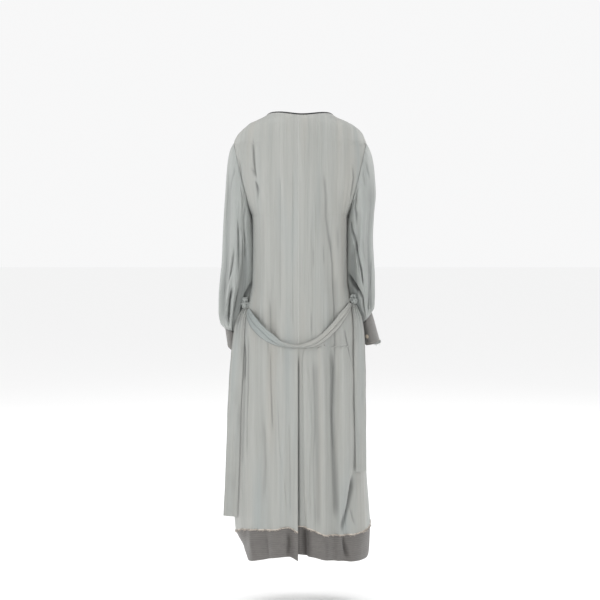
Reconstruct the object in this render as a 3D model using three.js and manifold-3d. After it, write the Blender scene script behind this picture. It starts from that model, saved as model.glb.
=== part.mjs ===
// A long loose duster coat of pale satin with wool cuffs and a wool hem band, hollow and hanging as worn.
// Its back faces +Y, the wearer's left is +X and up is +Z. Lengths are in millimetres.
// The origin is the middle of the neck, level with the line where the two shoulders meet it.
import * as THREE from "three";
import Module from "manifold-3d";
import { mergeVertices } from "three/addons/utils/BufferGeometryUtils.js";

const wasm = await Module();
wasm.setup();

// Cloth and seams
const satinWall = 1.9;
const woolWall = 2.6;
const beltWall = 1.7;
const seamGap = 0.3;
const weldWithin = 1e-4;

// Neckline, seen from above as an ellipse that is wider than it is deep
const neckHalfWidth = 110;
const neckMiddleY = -22;
const neckHalfDepth = { back: 90, front: 74 };
const neckSearch = { top: 15, bottom: -170, steps: 40 };
const bindingClear = 0.6;
const bindingRise = 4.6;
const bindingOut = 1.3;
const bindingIn = 3.2;

// Shoulder tip, armhole and the level of the underarm
const tip = { x: 216, z: -90 };
const underarm = { x: 158, z: -325 };
const armholeMiddleY = 2;
const armholeHalfDepth = 88;
const shoulderSeamBehindRidge = 15;
const shoulderSeamCurve = 0.75;

// Centre lines and the open front edge
const centreBackX = 6;
const centreFrontX = 0;
const frontGap = [
  { z: 20, half: 9 },
  { z: -325, half: 12 },
  { z: -1430, half: 26 },
];

// Sections of the body from the neck down, with the reach of each side, of the back and of the front
// round is how square the section is, and edgeRound how far it turns forward before it meets its edge
const bodySections = [
  { z: 16, left: 84, right: 84, back: 56, front: 48, round: 2.1, edgeRound: 2.1 },
  { z: 8, left: 101, right: 101, back: 63, front: 54, round: 2.1, edgeRound: 2.1 },
  { z: -6, left: 122, right: 123, back: 72, front: 62, round: 2.1, edgeRound: 2.1 },
  { z: -26, left: 163, right: 166, back: 84, front: 72, round: 2.1, edgeRound: 2.1 },
  { z: -46, left: 189, right: 193, back: 93, front: 80, round: 2.1, edgeRound: 2.1 },
  { z: -65, left: 206, right: 206, back: 101, front: 88, round: 2.1, edgeRound: 2.0 },
  { z: -90, left: 216, right: 216, back: 110, front: 98, round: 2.1, edgeRound: 1.8 },
  { z: -140, left: 204, right: 204, back: 123, front: 112, round: 2.2, edgeRound: 1.3 },
  { z: -200, left: 189, right: 189, back: 134, front: 124, round: 2.3, edgeRound: 1.22 },
  { z: -262, left: 174, right: 174, back: 141, front: 132, round: 2.3, edgeRound: 1.27 },
  { z: -285, left: 168, right: 168, back: 142.7, front: 134.5, round: 2.3, edgeRound: 1.44 },
  { z: -300, left: 164, right: 164, back: 143.7, front: 136, round: 2.3, edgeRound: 1.6 },
  { z: -312, left: 161, right: 161, back: 144.4, front: 137, round: 2.3, edgeRound: 1.8 },
  { z: -319, left: 159.5, right: 159.5, back: 144.8, front: 137.6, round: 2.3, edgeRound: 2 },
  { z: -325, left: 158, right: 158, back: 145, front: 138, round: 2.3, edgeRound: 2.45 },
  { z: -430, left: 155, right: 156, back: 145, front: 139, round: 2.4, edgeRound: 2.4 },
  { z: -540, left: 157, right: 158, back: 143, front: 139, round: 2.4, edgeRound: 2.3 },
  { z: -590, left: 167, right: 168, back: 143, front: 140, round: 2.4, edgeRound: 2.3 },
  { z: -640, left: 180, right: 182, back: 144, front: 141, round: 2.3, edgeRound: 2.3 },
  { z: -705, left: 191, right: 196, back: 147, front: 144, round: 2.3, edgeRound: 2.3 },
  { z: -772, left: 197, right: 204, back: 151, front: 148, round: 2.3, edgeRound: 2.3 },
  { z: -930, left: 203, right: 207, back: 158, front: 155, round: 2.3, edgeRound: 2.3 },
  { z: -1086, left: 208, right: 213, back: 165, front: 162, round: 2.3, edgeRound: 2.3 },
  { z: -1190, left: 211, right: 219, back: 170, front: 167, round: 2.3, edgeRound: 2.3 },
  { z: -1290, left: 214, right: 226, back: 176, front: 172, round: 2.3, edgeRound: 2.3 },
  { z: -1345, left: 210, right: 229, back: 179, front: 175, round: 2.3, edgeRound: 2.3 },
  { z: -1400, left: 184, right: 227, back: 180, front: 176, round: 2.3, edgeRound: 2.3 },
  { z: -1440, left: 174, right: 220, back: 181, front: 177, round: 2.3, edgeRound: 2.3 },
];

// Levels of the body's rows below the underarm, the last being the hem seam itself
const rowLevels = [
  -325, -395, -465, -535, -595, -650, -700, -742, -752, -778, -850, -930, -1010, -1090, -1170, -1235, -1290,
];

// Height of the hem seam and of the lower edge, by share of the way from the centre line to the side
const hemLine = {
  leftback: [
    { share: 0, seam: -1327, edge: -1416 },
    { share: 0.1, seam: -1313, edge: -1403 },
    { share: 0.25, seam: -1321, edge: -1408 },
    { share: 0.45, seam: -1325, edge: -1421 },
    { share: 0.68, seam: -1333, edge: -1430 },
    { share: 0.85, seam: -1347, edge: -1412 },
    { share: 1, seam: -1355, edge: -1399 },
  ],
  leftfront: [
    { share: 0, seam: -1328, edge: -1412 },
    { share: 0.6, seam: -1332, edge: -1413 },
    { share: 1, seam: -1355, edge: -1399 },
  ],
  rightback: [
    { share: 0, seam: -1305, edge: -1393 },
    { share: 0.2, seam: -1316, edge: -1403 },
    { share: 0.35, seam: -1338, edge: -1416 },
    { share: 0.6, seam: -1343, edge: -1428 },
    { share: 0.8, seam: -1337, edge: -1430 },
    { share: 1, seam: -1325, edge: -1419 },
  ],
  rightfront: [
    { share: 0, seam: -1328, edge: -1412 },
    { share: 0.6, seam: -1330, edge: -1414 },
    { share: 1, seam: -1325, edge: -1419 },
  ],
};

// Main folds of the body: x at the two ends of each, its half width, and its height (a trough is negative)
const bodyFolds = [
  { face: "back", topZ: -110, topX: 153, lowZ: -300, lowX: 132, half: 26, height: -7 },
  { face: "back", topZ: -190, topX: -74, lowZ: -690, lowX: -110, half: 24, height: -6 },
  { face: "back", topZ: -190, topX: -104, lowZ: -660, lowX: -138, half: 22, height: 4 },
  { face: "back", topZ: -180, topX: 64, lowZ: -560, lowX: 78, half: 22, height: -4 },
  { face: "back", topZ: -240, topX: 106, lowZ: -640, lowX: 112, half: 22, height: 4 },
  { face: "back", topZ: -480, topX: 95, lowZ: -1120, lowX: 88, half: 22, height: -8 },
  { face: "back", topZ: -640, topX: 60, lowZ: -1290, lowX: 48, half: 24, height: 6 },
  { face: "back", topZ: -900, topX: 128, lowZ: -1440, lowX: 104, half: 26, height: -9 },
  { face: "back", topZ: -860, topX: 160, lowZ: -1440, lowX: 150, half: 24, height: 8 },
  { face: "back", topZ: -600, topX: -110, lowZ: -1440, lowX: -114, half: 30, height: -13 },
  { face: "back", topZ: -620, topX: -66, lowZ: -1440, lowX: -72, half: 24, height: 7 },
  { face: "back", topZ: -700, topX: -146, lowZ: -1300, lowX: -152, half: 24, height: 7 },
  { face: "back", topZ: -1090, topX: -176, lowZ: -1440, lowX: -142, half: 24, height: -13 },
  { face: "front", topZ: -200, topX: 96, lowZ: -900, lowX: 112, half: 30, height: -7 },
  { face: "front", topZ: -520, topX: 58, lowZ: -1440, lowX: 64, half: 30, height: 8 },
  { face: "front", topZ: -700, topX: 140, lowZ: -1440, lowX: 148, half: 30, height: -11 },
  { face: "front", topZ: -200, topX: -88, lowZ: -980, lowX: -104, half: 30, height: -8 },
  { face: "front", topZ: -480, topX: -52, lowZ: -1440, lowX: -58, half: 30, height: 7 },
  { face: "front", topZ: -640, topX: -142, lowZ: -1440, lowX: -150, half: 30, height: -12 },
];
const foldFade = 150;
const foldCalm = { from: 0.8, to: 0.95 };

// Vent below the centre back seam: the right panel dives under the left one and comes out beside it
const ventRows = [
  { z: -742, reach: 0, inset: 0, ridgeX: -32 },
  { z: -752, reach: -4, inset: 6, ridgeX: -14 },
  { z: -778, reach: 30, inset: 10, ridgeX: -11 },
  { z: -1180, reach: 30, inset: 10, ridgeX: -16 },
  { z: -1440, reach: 30, inset: 11, ridgeX: -29 },
];
const ventRidgeColumn = 3;
const ventStepInset = 0.85;
const ventStepWidth = 6;

// Sleeve sections from the armhole to the cuff. Each is an oval through its outer and its inner point
const sleeveSections = {
  left: [
    { at: 0, outerX: 216.4, outerZ: -90, innerX: 158.4, innerZ: -325, depth: 88, middleY: 2 },
    { at: 0.05, outerX: 227, outerZ: -108, innerX: 160.5, innerZ: -340, depth: 90, middleY: 2 },
    { at: 0.12, outerX: 235, outerZ: -143, innerX: 161, innerZ: -356, depth: 89, middleY: 2 },
    { at: 0.2, outerX: 240, outerZ: -190, innerX: 161, innerZ: -376, depth: 85, middleY: 1 },
    { at: 0.29, outerX: 244, outerZ: -250, innerX: 160, innerZ: -402, depth: 81, middleY: 0 },
    { at: 0.39, outerX: 249, outerZ: -320, innerX: 159, innerZ: -434, depth: 78, middleY: -3 },
    { at: 0.5, outerX: 253, outerZ: -400, innerX: 159, innerZ: -476, depth: 77, middleY: -6 },
    { at: 0.6, outerX: 256, outerZ: -475, innerX: 160, innerZ: -520, depth: 79, middleY: -9 },
    { at: 0.7, outerX: 262, outerZ: -540, innerX: 166, innerZ: -566, depth: 83, middleY: -12 },
    { at: 0.78, outerX: 265, outerZ: -592, innerX: 178, innerZ: -608, depth: 86, middleY: -14 },
    { at: 0.86, outerX: 265, outerZ: -640, innerX: 189, innerZ: -652, depth: 84, middleY: -16 },
    { at: 0.93, outerX: 259, outerZ: -676, innerX: 199, innerZ: -690, depth: 72, middleY: -18 },
    { at: 1, outerX: 245, outerZ: -696, innerX: 206, innerZ: -706, depth: 50, middleY: -20 },
  ],
  right: [
    { at: 0, outerX: 216.4, outerZ: -90, innerX: 158.4, innerZ: -325, depth: 88, middleY: 2 },
    { at: 0.05, outerX: 227, outerZ: -108, innerX: 160.5, innerZ: -340, depth: 90, middleY: 2 },
    { at: 0.12, outerX: 238, outerZ: -143, innerX: 161, innerZ: -356, depth: 89, middleY: 2 },
    { at: 0.2, outerX: 244, outerZ: -190, innerX: 161, innerZ: -376, depth: 85, middleY: 1 },
    { at: 0.29, outerX: 248, outerZ: -255, innerX: 161, innerZ: -402, depth: 81, middleY: 0 },
    { at: 0.39, outerX: 242, outerZ: -325, innerX: 161, innerZ: -434, depth: 77, middleY: -2 },
    { at: 0.5, outerX: 239, outerZ: -400, innerX: 160, innerZ: -476, depth: 76, middleY: -4 },
    { at: 0.6, outerX: 242, outerZ: -470, innerX: 161, innerZ: -520, depth: 78, middleY: -6 },
    { at: 0.7, outerX: 245, outerZ: -530, innerX: 168, innerZ: -564, depth: 82, middleY: -8 },
    { at: 0.78, outerX: 245, outerZ: -574, innerX: 179, innerZ: -604, depth: 84, middleY: -9 },
    { at: 0.86, outerX: 244, outerZ: -606, innerX: 189, innerZ: -642, depth: 80, middleY: -10 },
    { at: 0.93, outerX: 241, outerZ: -628, innerX: 197, innerZ: -668, depth: 68, middleY: -11 },
    { at: 1, outerX: 235, outerZ: -640, innerX: 203, innerZ: -681, depth: 50, middleY: -12 },
  ],
};
const cuffEnds = {
  left: { outerX: 238, outerZ: -752, innerX: 206, innerZ: -774, depth: 50, middleY: -24 },
  right: { outerX: 262, outerZ: -737, innerX: 214, innerZ: -748, depth: 52, middleY: -14 },
};
const sleeveColumns = 28;
const sleeveRows = 15;
const sleeveGathers = {
  from: 0.5,
  height: 3.6,
  atCuff: 1.3,
  cuffFrom: 0.93,
  unevenShare: 0.25,
  unevenWaves: 3,
};
const sleeveFolds = [
  { turn: 0.13, half: 0.07, from: 0.12, to: 0.95, height: -6 },
  { turn: 0.24, half: 0.07, from: 0.2, to: 0.98, height: 4 },
  { turn: 0.34, half: 0.06, from: 0.35, to: 0.98, height: -7 },
  { turn: 0.66, half: 0.07, from: 0.3, to: 0.95, height: -6 },
  { turn: 0.8, half: 0.08, from: 0.1, to: 0.9, height: 4 },
];
const sleeveFoldEase = { start: 0.15, end: 0.1, rightTurn: 0.025 };
const innerCalm = { from: 0.02, over: 0.12 };

// Cuffs: a band that laps over itself at a button
const cuffColumns = 22;
const cuffRows = 4;
const cuffGap = 0.45;
const cuffLap = { start: 0.32, share: 0.07, lift: 4.2, riseShares: 3, flatShares: 1, buttonAt: 0.9 };
const button = { radius: 6.5, thick: 2.6, dish: 0.8, sides: 14, alongCuff: 0.62, seat: 0.5 };
const buttonRim = { foot: 0.85, wideAt: 0.35, top: 0.95, inner: 0.7, dish: 0.6 };
const buttonStep = { along: 0.1, share: 0.01 };

// Belt: one strip that hangs in a sling behind the back, gathered in a loop at each side, with two free ends
const beltClear = 9;
const beltColumns = 4;
const slingRows = [
  { x: 168, z: -628, height: 14, bulge: 6 },
  { x: 160, z: -648, height: 27, bulge: 5 },
  { x: 147, z: -669, height: 34, bulge: 4 },
  { x: 127, z: -691, height: 35, bulge: 4 },
  { x: 96, z: -714, height: 32, bulge: 5 },
  { x: 58, z: -733, height: 18, bulge: 10 },
  { x: 10, z: -740, height: 11, bulge: 13 },
  { x: -35, z: -734, height: 21, bulge: 10 },
  { x: -64, z: -720, height: 25, bulge: 8 },
  { x: -90, z: -699, height: 26, bulge: 8 },
  { x: -115, z: -674, height: 27, bulge: 8 },
  { x: -137, z: -646, height: 26, bulge: 7 },
  { x: -154, z: -624, height: 20, bulge: 6 },
  { x: -163, z: -608, height: 13, bulge: 6 },
];
const slingStepsPerRow = 2;
const slingReach = 0.5;
const tailRows = {
  left: [
    { z: -622, near: 168, far: 181, turnIn: 3 },
    { z: -640, near: 172, far: 196, turnIn: 5 },
    { z: -662, near: 177, far: 208, turnIn: 8 },
    { z: -710, near: 179, far: 216, turnIn: 12 },
    { z: -765, near: 181, far: 223, turnIn: 15 },
    { z: -840, near: 184, far: 228, turnIn: 16 },
    { z: -920, near: 188, far: 232, turnIn: 16 },
    { z: -1080, near: 193, far: 238, turnIn: 16 },
    { z: -1177, near: 196, far: 242, turnIn: 16 },
    { z: -1294, near: 201, far: 247, turnIn: 16 },
  ],
  right: [
    { z: -606, near: 165, far: 178, turnIn: 3 },
    { z: -628, near: 169, far: 190, turnIn: 6 },
    { z: -660, near: 172, far: 202, turnIn: 14 },
    { z: -720, near: 173, far: 209, turnIn: 24 },
    { z: -800, near: 173, far: 212, turnIn: 28 },
    { z: -900, near: 174, far: 212, turnIn: 28 },
    { z: -1020, near: 176, far: 213, turnIn: 28 },
    { z: -1146, near: 178, far: 214, turnIn: 28 },
  ],
};
const tailClear = 8;
const tailRowCount = 16;
const tailRowGrowth = 1.25;
const tailWave = { height: 1.5, step: 1.3, across: 3 };
const tailInsideEdge = 4;
const gatherKnots = {
  left: { share: 0.79, z: -611, out: 12, wide: 10.5, deep: 8, tall: 19 },
  right: { share: 0.79, z: -598, out: 12, wide: 10, deep: 8, tall: 16 },
};
const gatherPleats = { count: 7, height: 0.1, around: 14, rows: 8 };
const loopThread = {
  half: 1.2,
  above: 3,
  footShare: 0.05,
  footClear: 1.15,
  radius: 13.6,
  startAngle: -0.3,
  bends: 6,
  sides: 5,
  steps: 14,
};

// Columns of the panels
const backColumns = 16;
const frontColumns = 12;
const yokeRows = 10;
const yokeEase = 0.6;
const hemRows = 2;

// Colours and finish
const satin = { color: 0xb3b6b2, roughness: 0.42, metalness: 0 };
const sleeveSatin = { color: 0xaab0ae, roughness: 0.4, metalness: 0 };
const wool = { color: 0x7a7875, roughness: 0.9, metalness: 0 };
const darkTape = { color: 0x2a2a2d, roughness: 0.8, metalness: 0 };
const horn = { color: 0xd8cfc0, roughness: 0.35, metalness: 0 };

const fullTurn = 2 * Math.PI;
const innerTurn = 0.5;
const sideSign = { left: 1, right: -1 };
const faceSign = { back: 1, front: -1 };
const sideNames = Object.keys(sideSign);
const faceNames = Object.keys(faceSign);

function mix(from, to, share) {
  return from + (to - from) * share;
}

function clamp(value, low = 0, high = 1) {
  return Math.min(high, Math.max(low, value));
}

function smooth(value) {
  const held = clamp(value);
  return held * held * (3 - 2 * held);
}

// A soft hump that is 1 in the middle and 0 one half width away
function hump(offset) {
  return Math.abs(offset) < 1 ? (1 + Math.cos(Math.PI * offset)) / 2 : 0;
}

// Slope of a column at one of a table's rows, which keeps the curve from overshooting
function rowSlope(rows, key, name, row) {
  const slopeAfter = (r) => (rows[r + 1][name] - rows[r][name]) / (rows[r + 1][key] - rows[r][key]);
  if (row === 0) return slopeAfter(0);
  if (row === rows.length - 1) return slopeAfter(row - 1);
  const before = slopeAfter(row - 1);
  const after = slopeAfter(row);
  return before * after <= 0 ? 0 : (2 * before * after) / (before + after);
}

// A column of a table, read between its rows along a smooth curve
function readTable(rows, key, name, at) {
  const down = rows[rows.length - 1][key] < rows[0][key];
  const beyond = (row) => (down ? at <= rows[row][key] : at >= rows[row][key]);
  if (!beyond(0)) return rows[0][name];
  if (beyond(rows.length - 1)) return rows[rows.length - 1][name];
  let row = 0;
  while (beyond(row + 1)) row += 1;
  const span = rows[row + 1][key] - rows[row][key];
  const t = (at - rows[row][key]) / span;
  const startPull = rowSlope(rows, key, name, row) * span;
  const endPull = rowSlope(rows, key, name, row + 1) * span;
  const start = rows[row][name];
  const end = rows[row + 1][name];
  return (
    start +
    t * startPull +
    t * t * (3 * (end - start) - 2 * startPull - endPull) +
    t * t * t * (2 * (start - end) + startPull + endPull)
  );
}

// The edge that a section of the body ends at: shoulder ridge, armhole or side seam
function edgeOf(side, face, z) {
  const inArmhole = z < tip.z && z > underarm.z;
  if (!inArmhole) return { x: readTable(bodySections, "z", side, z), y: 0 };
  const down = (tip.z - z) / (tip.z - underarm.z);
  const half = Math.sqrt(Math.max(0, 1 - (2 * down - 1) ** 2));
  return {
    x: mix(tip.x, underarm.x, down),
    y: armholeHalfDepth * half + faceSign[face] * armholeMiddleY * Math.min(1, half),
  };
}

// A point of a section at an angle from the centre line (0) to the edge (a quarter turn)
function pointAtAngle(side, face, z, angle) {
  const edge = edgeOf(side, face, z);
  const middle = face === "back" ? centreBackX : centreFrontX;
  const across = Math.sin(angle) ** (2 / readTable(bodySections, "z", "round", z));
  const deep = Math.max(0, Math.cos(angle)) ** (2 / readTable(bodySections, "z", "edgeRound", z));
  const reach = readTable(bodySections, "z", face, z);
  return new THREE.Vector3(
    mix(middle, sideSign[side] * edge.x, across),
    faceSign[face] * mix(edge.y, reach, deep),
    z,
  );
}

const sectionSteps = 48;
const sectionCache = new Map();

// Points along a section with the length walked at each, so that a share of its length can be looked up
function sectionWalk(side, face, z) {
  const key = `${side}${face}${z.toFixed(3)}`;
  if (sectionCache.has(key)) return sectionCache.get(key);
  const points = [];
  const lengths = [0];
  for (let step = 0; step <= sectionSteps; step += 1) {
    points.push(pointAtAngle(side, face, z, ((step / sectionSteps) * Math.PI) / 2));
    if (step > 0) lengths.push(lengths[step - 1] + points[step].distanceTo(points[step - 1]));
  }
  const walk = { points, lengths, total: lengths[sectionSteps] };
  sectionCache.set(key, walk);
  return walk;
}

// A point of the smooth body at a share of the way round from the centre line to the edge.
// A share over 1 on the front passes over the shoulder ridge on to the back.
function bodyPoint(side, face, share, z) {
  const walk = sectionWalk(side, face, z);
  if (share > 1) {
    if (z < tip.z || face === "back") return walk.points[sectionSteps].clone();
    const past = (share - 1) * walk.total;
    return bodyPoint(side, "back", 1 - past / sectionWalk(side, "back", z).total, z);
  }
  const wanted = clamp(share) * walk.total;
  let step = 0;
  while (step < sectionSteps - 1 && walk.lengths[step + 1] < wanted) step += 1;
  const part = (wanted - walk.lengths[step]) / (walk.lengths[step + 1] - walk.lengths[step]);
  return walk.points[step].clone().lerp(walk.points[step + 1], part);
}

const probeShare = 0.01;
const probeDrop = 1.5;
const insideDrop = 70;

// The direction that faces out of the cloth
function bodyNormal(side, face, share, z) {
  if (share > 1 && face === "front" && z > tip.z) {
    const past = (share - 1) * sectionWalk(side, face, z).total;
    return bodyNormal(side, "back", 1 - past / sectionWalk(side, "back", z).total, z);
  }
  const low = Math.max(0, share - probeShare);
  const high = face === "back" || z < tip.z ? Math.min(1, share + probeShare) : share + probeShare;
  const across = bodyPoint(side, face, high, z).sub(bodyPoint(side, face, low, z));
  const down = bodyPoint(side, face, share, z - probeDrop).sub(bodyPoint(side, face, share, z + probeDrop));
  const normal = across.cross(down).normalize();
  const outward = bodyPoint(side, face, share, z).sub(new THREE.Vector3(0, 0, z - insideDrop));
  return normal.dot(outward) < 0 ? normal.negate() : normal;
}

// How far the folds lift the cloth at a place
function foldLift(face, share, point) {
  const calm = 1 - smooth((share - foldCalm.from) / (foldCalm.to - foldCalm.from));
  let lift = 0;
  for (const fold of bodyFolds) {
    if (fold.face !== face) continue;
    const along = (fold.topZ - point.z) / (fold.topZ - fold.lowZ);
    const ends = smooth((fold.topZ - point.z) / foldFade) * smooth((point.z - fold.lowZ) / foldFade);
    const runsOut = fold.lowZ < hemLine.leftback[0].edge;
    const strength = runsOut ? smooth((fold.topZ - point.z) / foldFade) : ends;
    lift += fold.height * strength * hump((point.x - mix(fold.topX, fold.lowX, clamp(along))) / fold.half);
  }
  return lift * (share > 1 ? 0 : calm);
}

// The outer and the inner face of the cloth at a place, with its folds
function clothPair(side, face, share, z, wall, inset = 0) {
  const point = bodyPoint(side, face, share, z);
  const normal = bodyNormal(side, face, share, z);
  const lift = foldLift(face, share, point) - inset;
  const outer = point.addScaledVector(normal, lift);
  return { outer, inner: outer.clone().addScaledVector(normal, -wall), normal };
}

// Share of the way round at which the back of the body has a given x
function shareAtX(side, z, x) {
  const walk = sectionWalk(side, "back", z);
  const wanted = Math.abs(x - centreBackX);
  let step = 0;
  while (step < sectionSteps - 1 && Math.abs(walk.points[step + 1].x - centreBackX) < wanted) step += 1;
  const before = Math.abs(walk.points[step].x - centreBackX);
  const after = Math.abs(walk.points[step + 1].x - centreBackX);
  const part = clamp((wanted - before) / (after - before));
  return mix(walk.lengths[step], walk.lengths[step + 1], part) / walk.total;
}

// Depth of the back of the body, without folds, at a place seen from behind
function backDepth(x, z) {
  const side = x > centreBackX ? "left" : "right";
  return bodyPoint(side, "back", shareAtX(side, z, x), z).y;
}

// Height at which the neckline crosses a column of the body
function neckHeight(side, face, share) {
  let high = neckSearch.top;
  let low = neckSearch.bottom;
  for (let step = 0; step < neckSearch.steps; step += 1) {
    const middle = (high + low) / 2;
    const point = bodyPoint(side, face, share, middle);
    const offY = point.y - neckMiddleY;
    const depth = offY > 0 ? neckHalfDepth.back : neckHalfDepth.front;
    const outside = (point.x / neckHalfWidth) ** 2 + (offY / depth) ** 2 > 1;
    if (outside) low = middle;
    else high = middle;
  }
  return (high + low) / 2;
}

// Shoulder seam, a little behind the ridge and running into it at the shoulder tip
function seamBehind(z) {
  const run = clamp((z - tip.z) / (0 - tip.z));
  return shoulderSeamBehindRidge * run ** shoulderSeamCurve;
}

// The place where the shoulder seam meets the neckline, as seen from one of the two panels
function seamShare(side, face, z) {
  const behind = seamBehind(z) / sectionWalk(side, face, z).total;
  return face === "back" ? 1 - behind : 1 + behind;
}

function seamAtNeck(side, face) {
  let share = 1;
  for (let step = 0; step < neckSearch.steps; step += 1) {
    share = mix(share, seamShare(side, face, neckHeight(side, face, share)), 0.5);
  }
  return { share, z: neckHeight(side, face, share) };
}

const neckColumnShare = { back: 0.625, front: 0.5 };
const nearCentre = { back: 0, front: 0.07 };

// Upper edge of a panel: along the neckline, then along the shoulder seam to its tip
function topEdge(side, face, across) {
  const neck = seamAtNeck(side, face);
  const turn = neckColumnShare[face];
  if (across <= turn) {
    const start = firstShare(side, face, neckHeight(side, face, nearCentre[face]));
    const share = mix(start, neck.share, across / turn);
    return { share, z: neckHeight(side, face, share) };
  }
  const z = mix(neck.z, tip.z, (across - turn) / (1 - turn));
  return { share: seamShare(side, face, z), z };
}

// Where the first column of a panel runs, as a share of the way round
function firstShare(side, face, z) {
  const half = face === "front" ? readTable(frontGap, "z", "half", z) : seamGap / 2;
  return half / sectionWalk(side, face, z).total;
}

function lastShare(side, face, z) {
  return z <= underarm.z ? 1 - seamGap / 2 / sectionWalk(side, face, z).total : 1;
}

// Places of the columns of the right back panel where it runs under the left one
function ventPlace(z, column) {
  const reach = readTable(ventRows, "z", "reach", z);
  const inset = readTable(ventRows, "z", "inset", z);
  const ridge = readTable(ventRows, "z", "ridgeX", z);
  const nearRidge = ridge + ventStepWidth * clamp(inset / ventRows[1].inset);
  const places = [
    { x: centreBackX + reach, inset },
    { x: mix(centreBackX + reach, nearRidge, 0.5), inset },
    { x: nearRidge, inset: inset * ventStepInset },
    { x: ridge, inset: 0 },
  ];
  return places[column];
}

// One place of a panel, by its column and its height below the underarm
function lowerPair(side, face, column, columns, z, wall) {
  const across = column / columns;
  const plain = mix(firstShare(side, face, z), lastShare(side, face, z), across);
  const vented = side === "right" && face === "back" && z < ventRows[0].z - 1;
  if (!vented) return clothPair(side, face, plain, z, wall);
  if (column <= ventRidgeColumn) {
    const place = ventPlace(z, column);
    const underSide = place.x > centreBackX ? "left" : "right";
    const share = shareAtX(underSide, z, place.x);
    return clothPair(underSide, face, share, z, wall, place.inset);
  }
  const ridgeShare = shareAtX("right", z, ventPlace(z, ventRidgeColumn).x);
  const beyond = (column - ventRidgeColumn) / (columns - ventRidgeColumn);
  return clothPair(side, face, mix(ridgeShare, lastShare(side, face, z), beyond), z, wall);
}

// A closed wall between two grids of points, open at its ends or joined round into a tube
function wallGeometry(outer, inner, ringed) {
  const rows = outer.length;
  const columns = outer[0].length;
  const positions = [];
  for (const grid of [outer, inner]) {
    for (const row of grid) for (const point of row) positions.push(point.x, point.y, point.z);
  }
  const place = (layer, row, column) => layer * rows * columns + row * columns + (column % columns);
  const faces = [];
  const quad = (a, b, c, d) => faces.push(a, b, c, a, c, d);
  const spans = ringed ? columns : columns - 1;
  for (let row = 0; row < rows - 1; row += 1) {
    for (let column = 0; column < spans; column += 1) {
      quad(
        place(0, row, column),
        place(0, row + 1, column),
        place(0, row + 1, column + 1),
        place(0, row, column + 1),
      );
      quad(
        place(1, row, column),
        place(1, row, column + 1),
        place(1, row + 1, column + 1),
        place(1, row + 1, column),
      );
    }
  }
  const last = rows - 1;
  for (let column = 0; column < spans; column += 1) {
    quad(place(0, 0, column), place(0, 0, column + 1), place(1, 0, column + 1), place(1, 0, column));
    quad(
      place(0, last, column),
      place(1, last, column),
      place(1, last, column + 1),
      place(0, last, column + 1),
    );
  }
  for (let row = 0; row < rows - 1 && !ringed; row += 1) {
    const end = columns - 1;
    quad(place(0, row, 0), place(1, row, 0), place(1, row + 1, 0), place(0, row + 1, 0));
    quad(place(0, row, end), place(0, row + 1, end), place(1, row + 1, end), place(1, row, end));
  }
  const geometry = new THREE.BufferGeometry();
  geometry.setAttribute("position", new THREE.Float32BufferAttribute(positions, 3));
  geometry.setIndex(facingOut(positions, faces));
  return geometry;
}

// The faces of a closed body, turned round if they face inwards
function facingOut(positions, faces) {
  const corner = (index) => new THREE.Vector3().fromArray(positions, index * 3);
  let volume = 0;
  for (let face = 0; face < faces.length; face += 3) {
    const [a, b, c] = [0, 1, 2].map((step) => corner(faces[face + step]));
    volume += a.dot(b.cross(c));
  }
  return volume < 0 ? faces.slice().reverse() : faces;
}

// Directions that face out of an open grid of points, from its own neighbours
function gridNormals(grid) {
  const rows = grid.length;
  const columns = grid[0].length;
  return grid.map((line, row) =>
    line.map((point, column) => {
      const along = grid[Math.min(rows - 1, row + 1)][column].clone().sub(grid[Math.max(0, row - 1)][column]);
      const across = line[Math.min(columns - 1, column + 1)].clone().sub(line[Math.max(0, column - 1)]);
      return across.cross(along).normalize();
    }),
  );
}

const group = new THREE.Group();

function addMesh(name, geometry, finish) {
  geometry.computeVertexNormals();
  const mesh = new THREE.Mesh(geometry, new THREE.MeshStandardMaterial(finish));
  mesh.name = name;
  group.add(mesh);
  return mesh;
}

// Body panels, from the neckline and shoulder seam to the hem seam
function panelGrids(side, face) {
  const columns = face === "back" ? backColumns : frontColumns;
  const outer = [];
  const inner = [];
  for (let row = 0; row < yokeRows; row += 1) {
    const even = row / yokeRows;
    const drop = mix(even, (1 - Math.cos(Math.PI * even)) / 2, yokeEase);
    const pairs = [];
    for (let column = 0; column <= columns; column += 1) {
      const across = column / columns;
      const top = topEdge(side, face, across);
      const z = mix(top.z, underarm.z, drop);
      const bottom = mix(firstShare(side, face, z), 1, across);
      const seamHalf = seamGap / 2 / sectionWalk(side, face, z).total;
      const seam = z > tip.z ? seamShare(side, face, z) - seamHalf : 1;
      const onSeam = across >= neckColumnShare[face];
      let share = mix(onSeam ? seam : top.share, bottom, drop);
      if (across === 0 && row > 0) share = firstShare(side, face, z);
      if (row === 0 && across === 1) share = 1 - seamHalf;
      pairs.push(clothPair(side, face, share, z, satinWall));
    }
    outer.push(pairs.map((pair) => pair.outer));
    inner.push(pairs.map((pair) => pair.inner));
  }
  for (let level = 0; level <= rowLevels.length; level += 1) {
    const pairs = [];
    for (let column = 0; column <= columns; column += 1) {
      const seam = readTable(hemLine[side + face], "share", "seam", column / columns);
      const z = level < rowLevels.length ? rowLevels[level] : seam;
      pairs.push(lowerPair(side, face, column, columns, z, satinWall));
    }
    outer.push(pairs.map((pair) => pair.outer));
    inner.push(pairs.map((pair) => pair.inner));
  }
  return { outer, inner };
}

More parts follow.
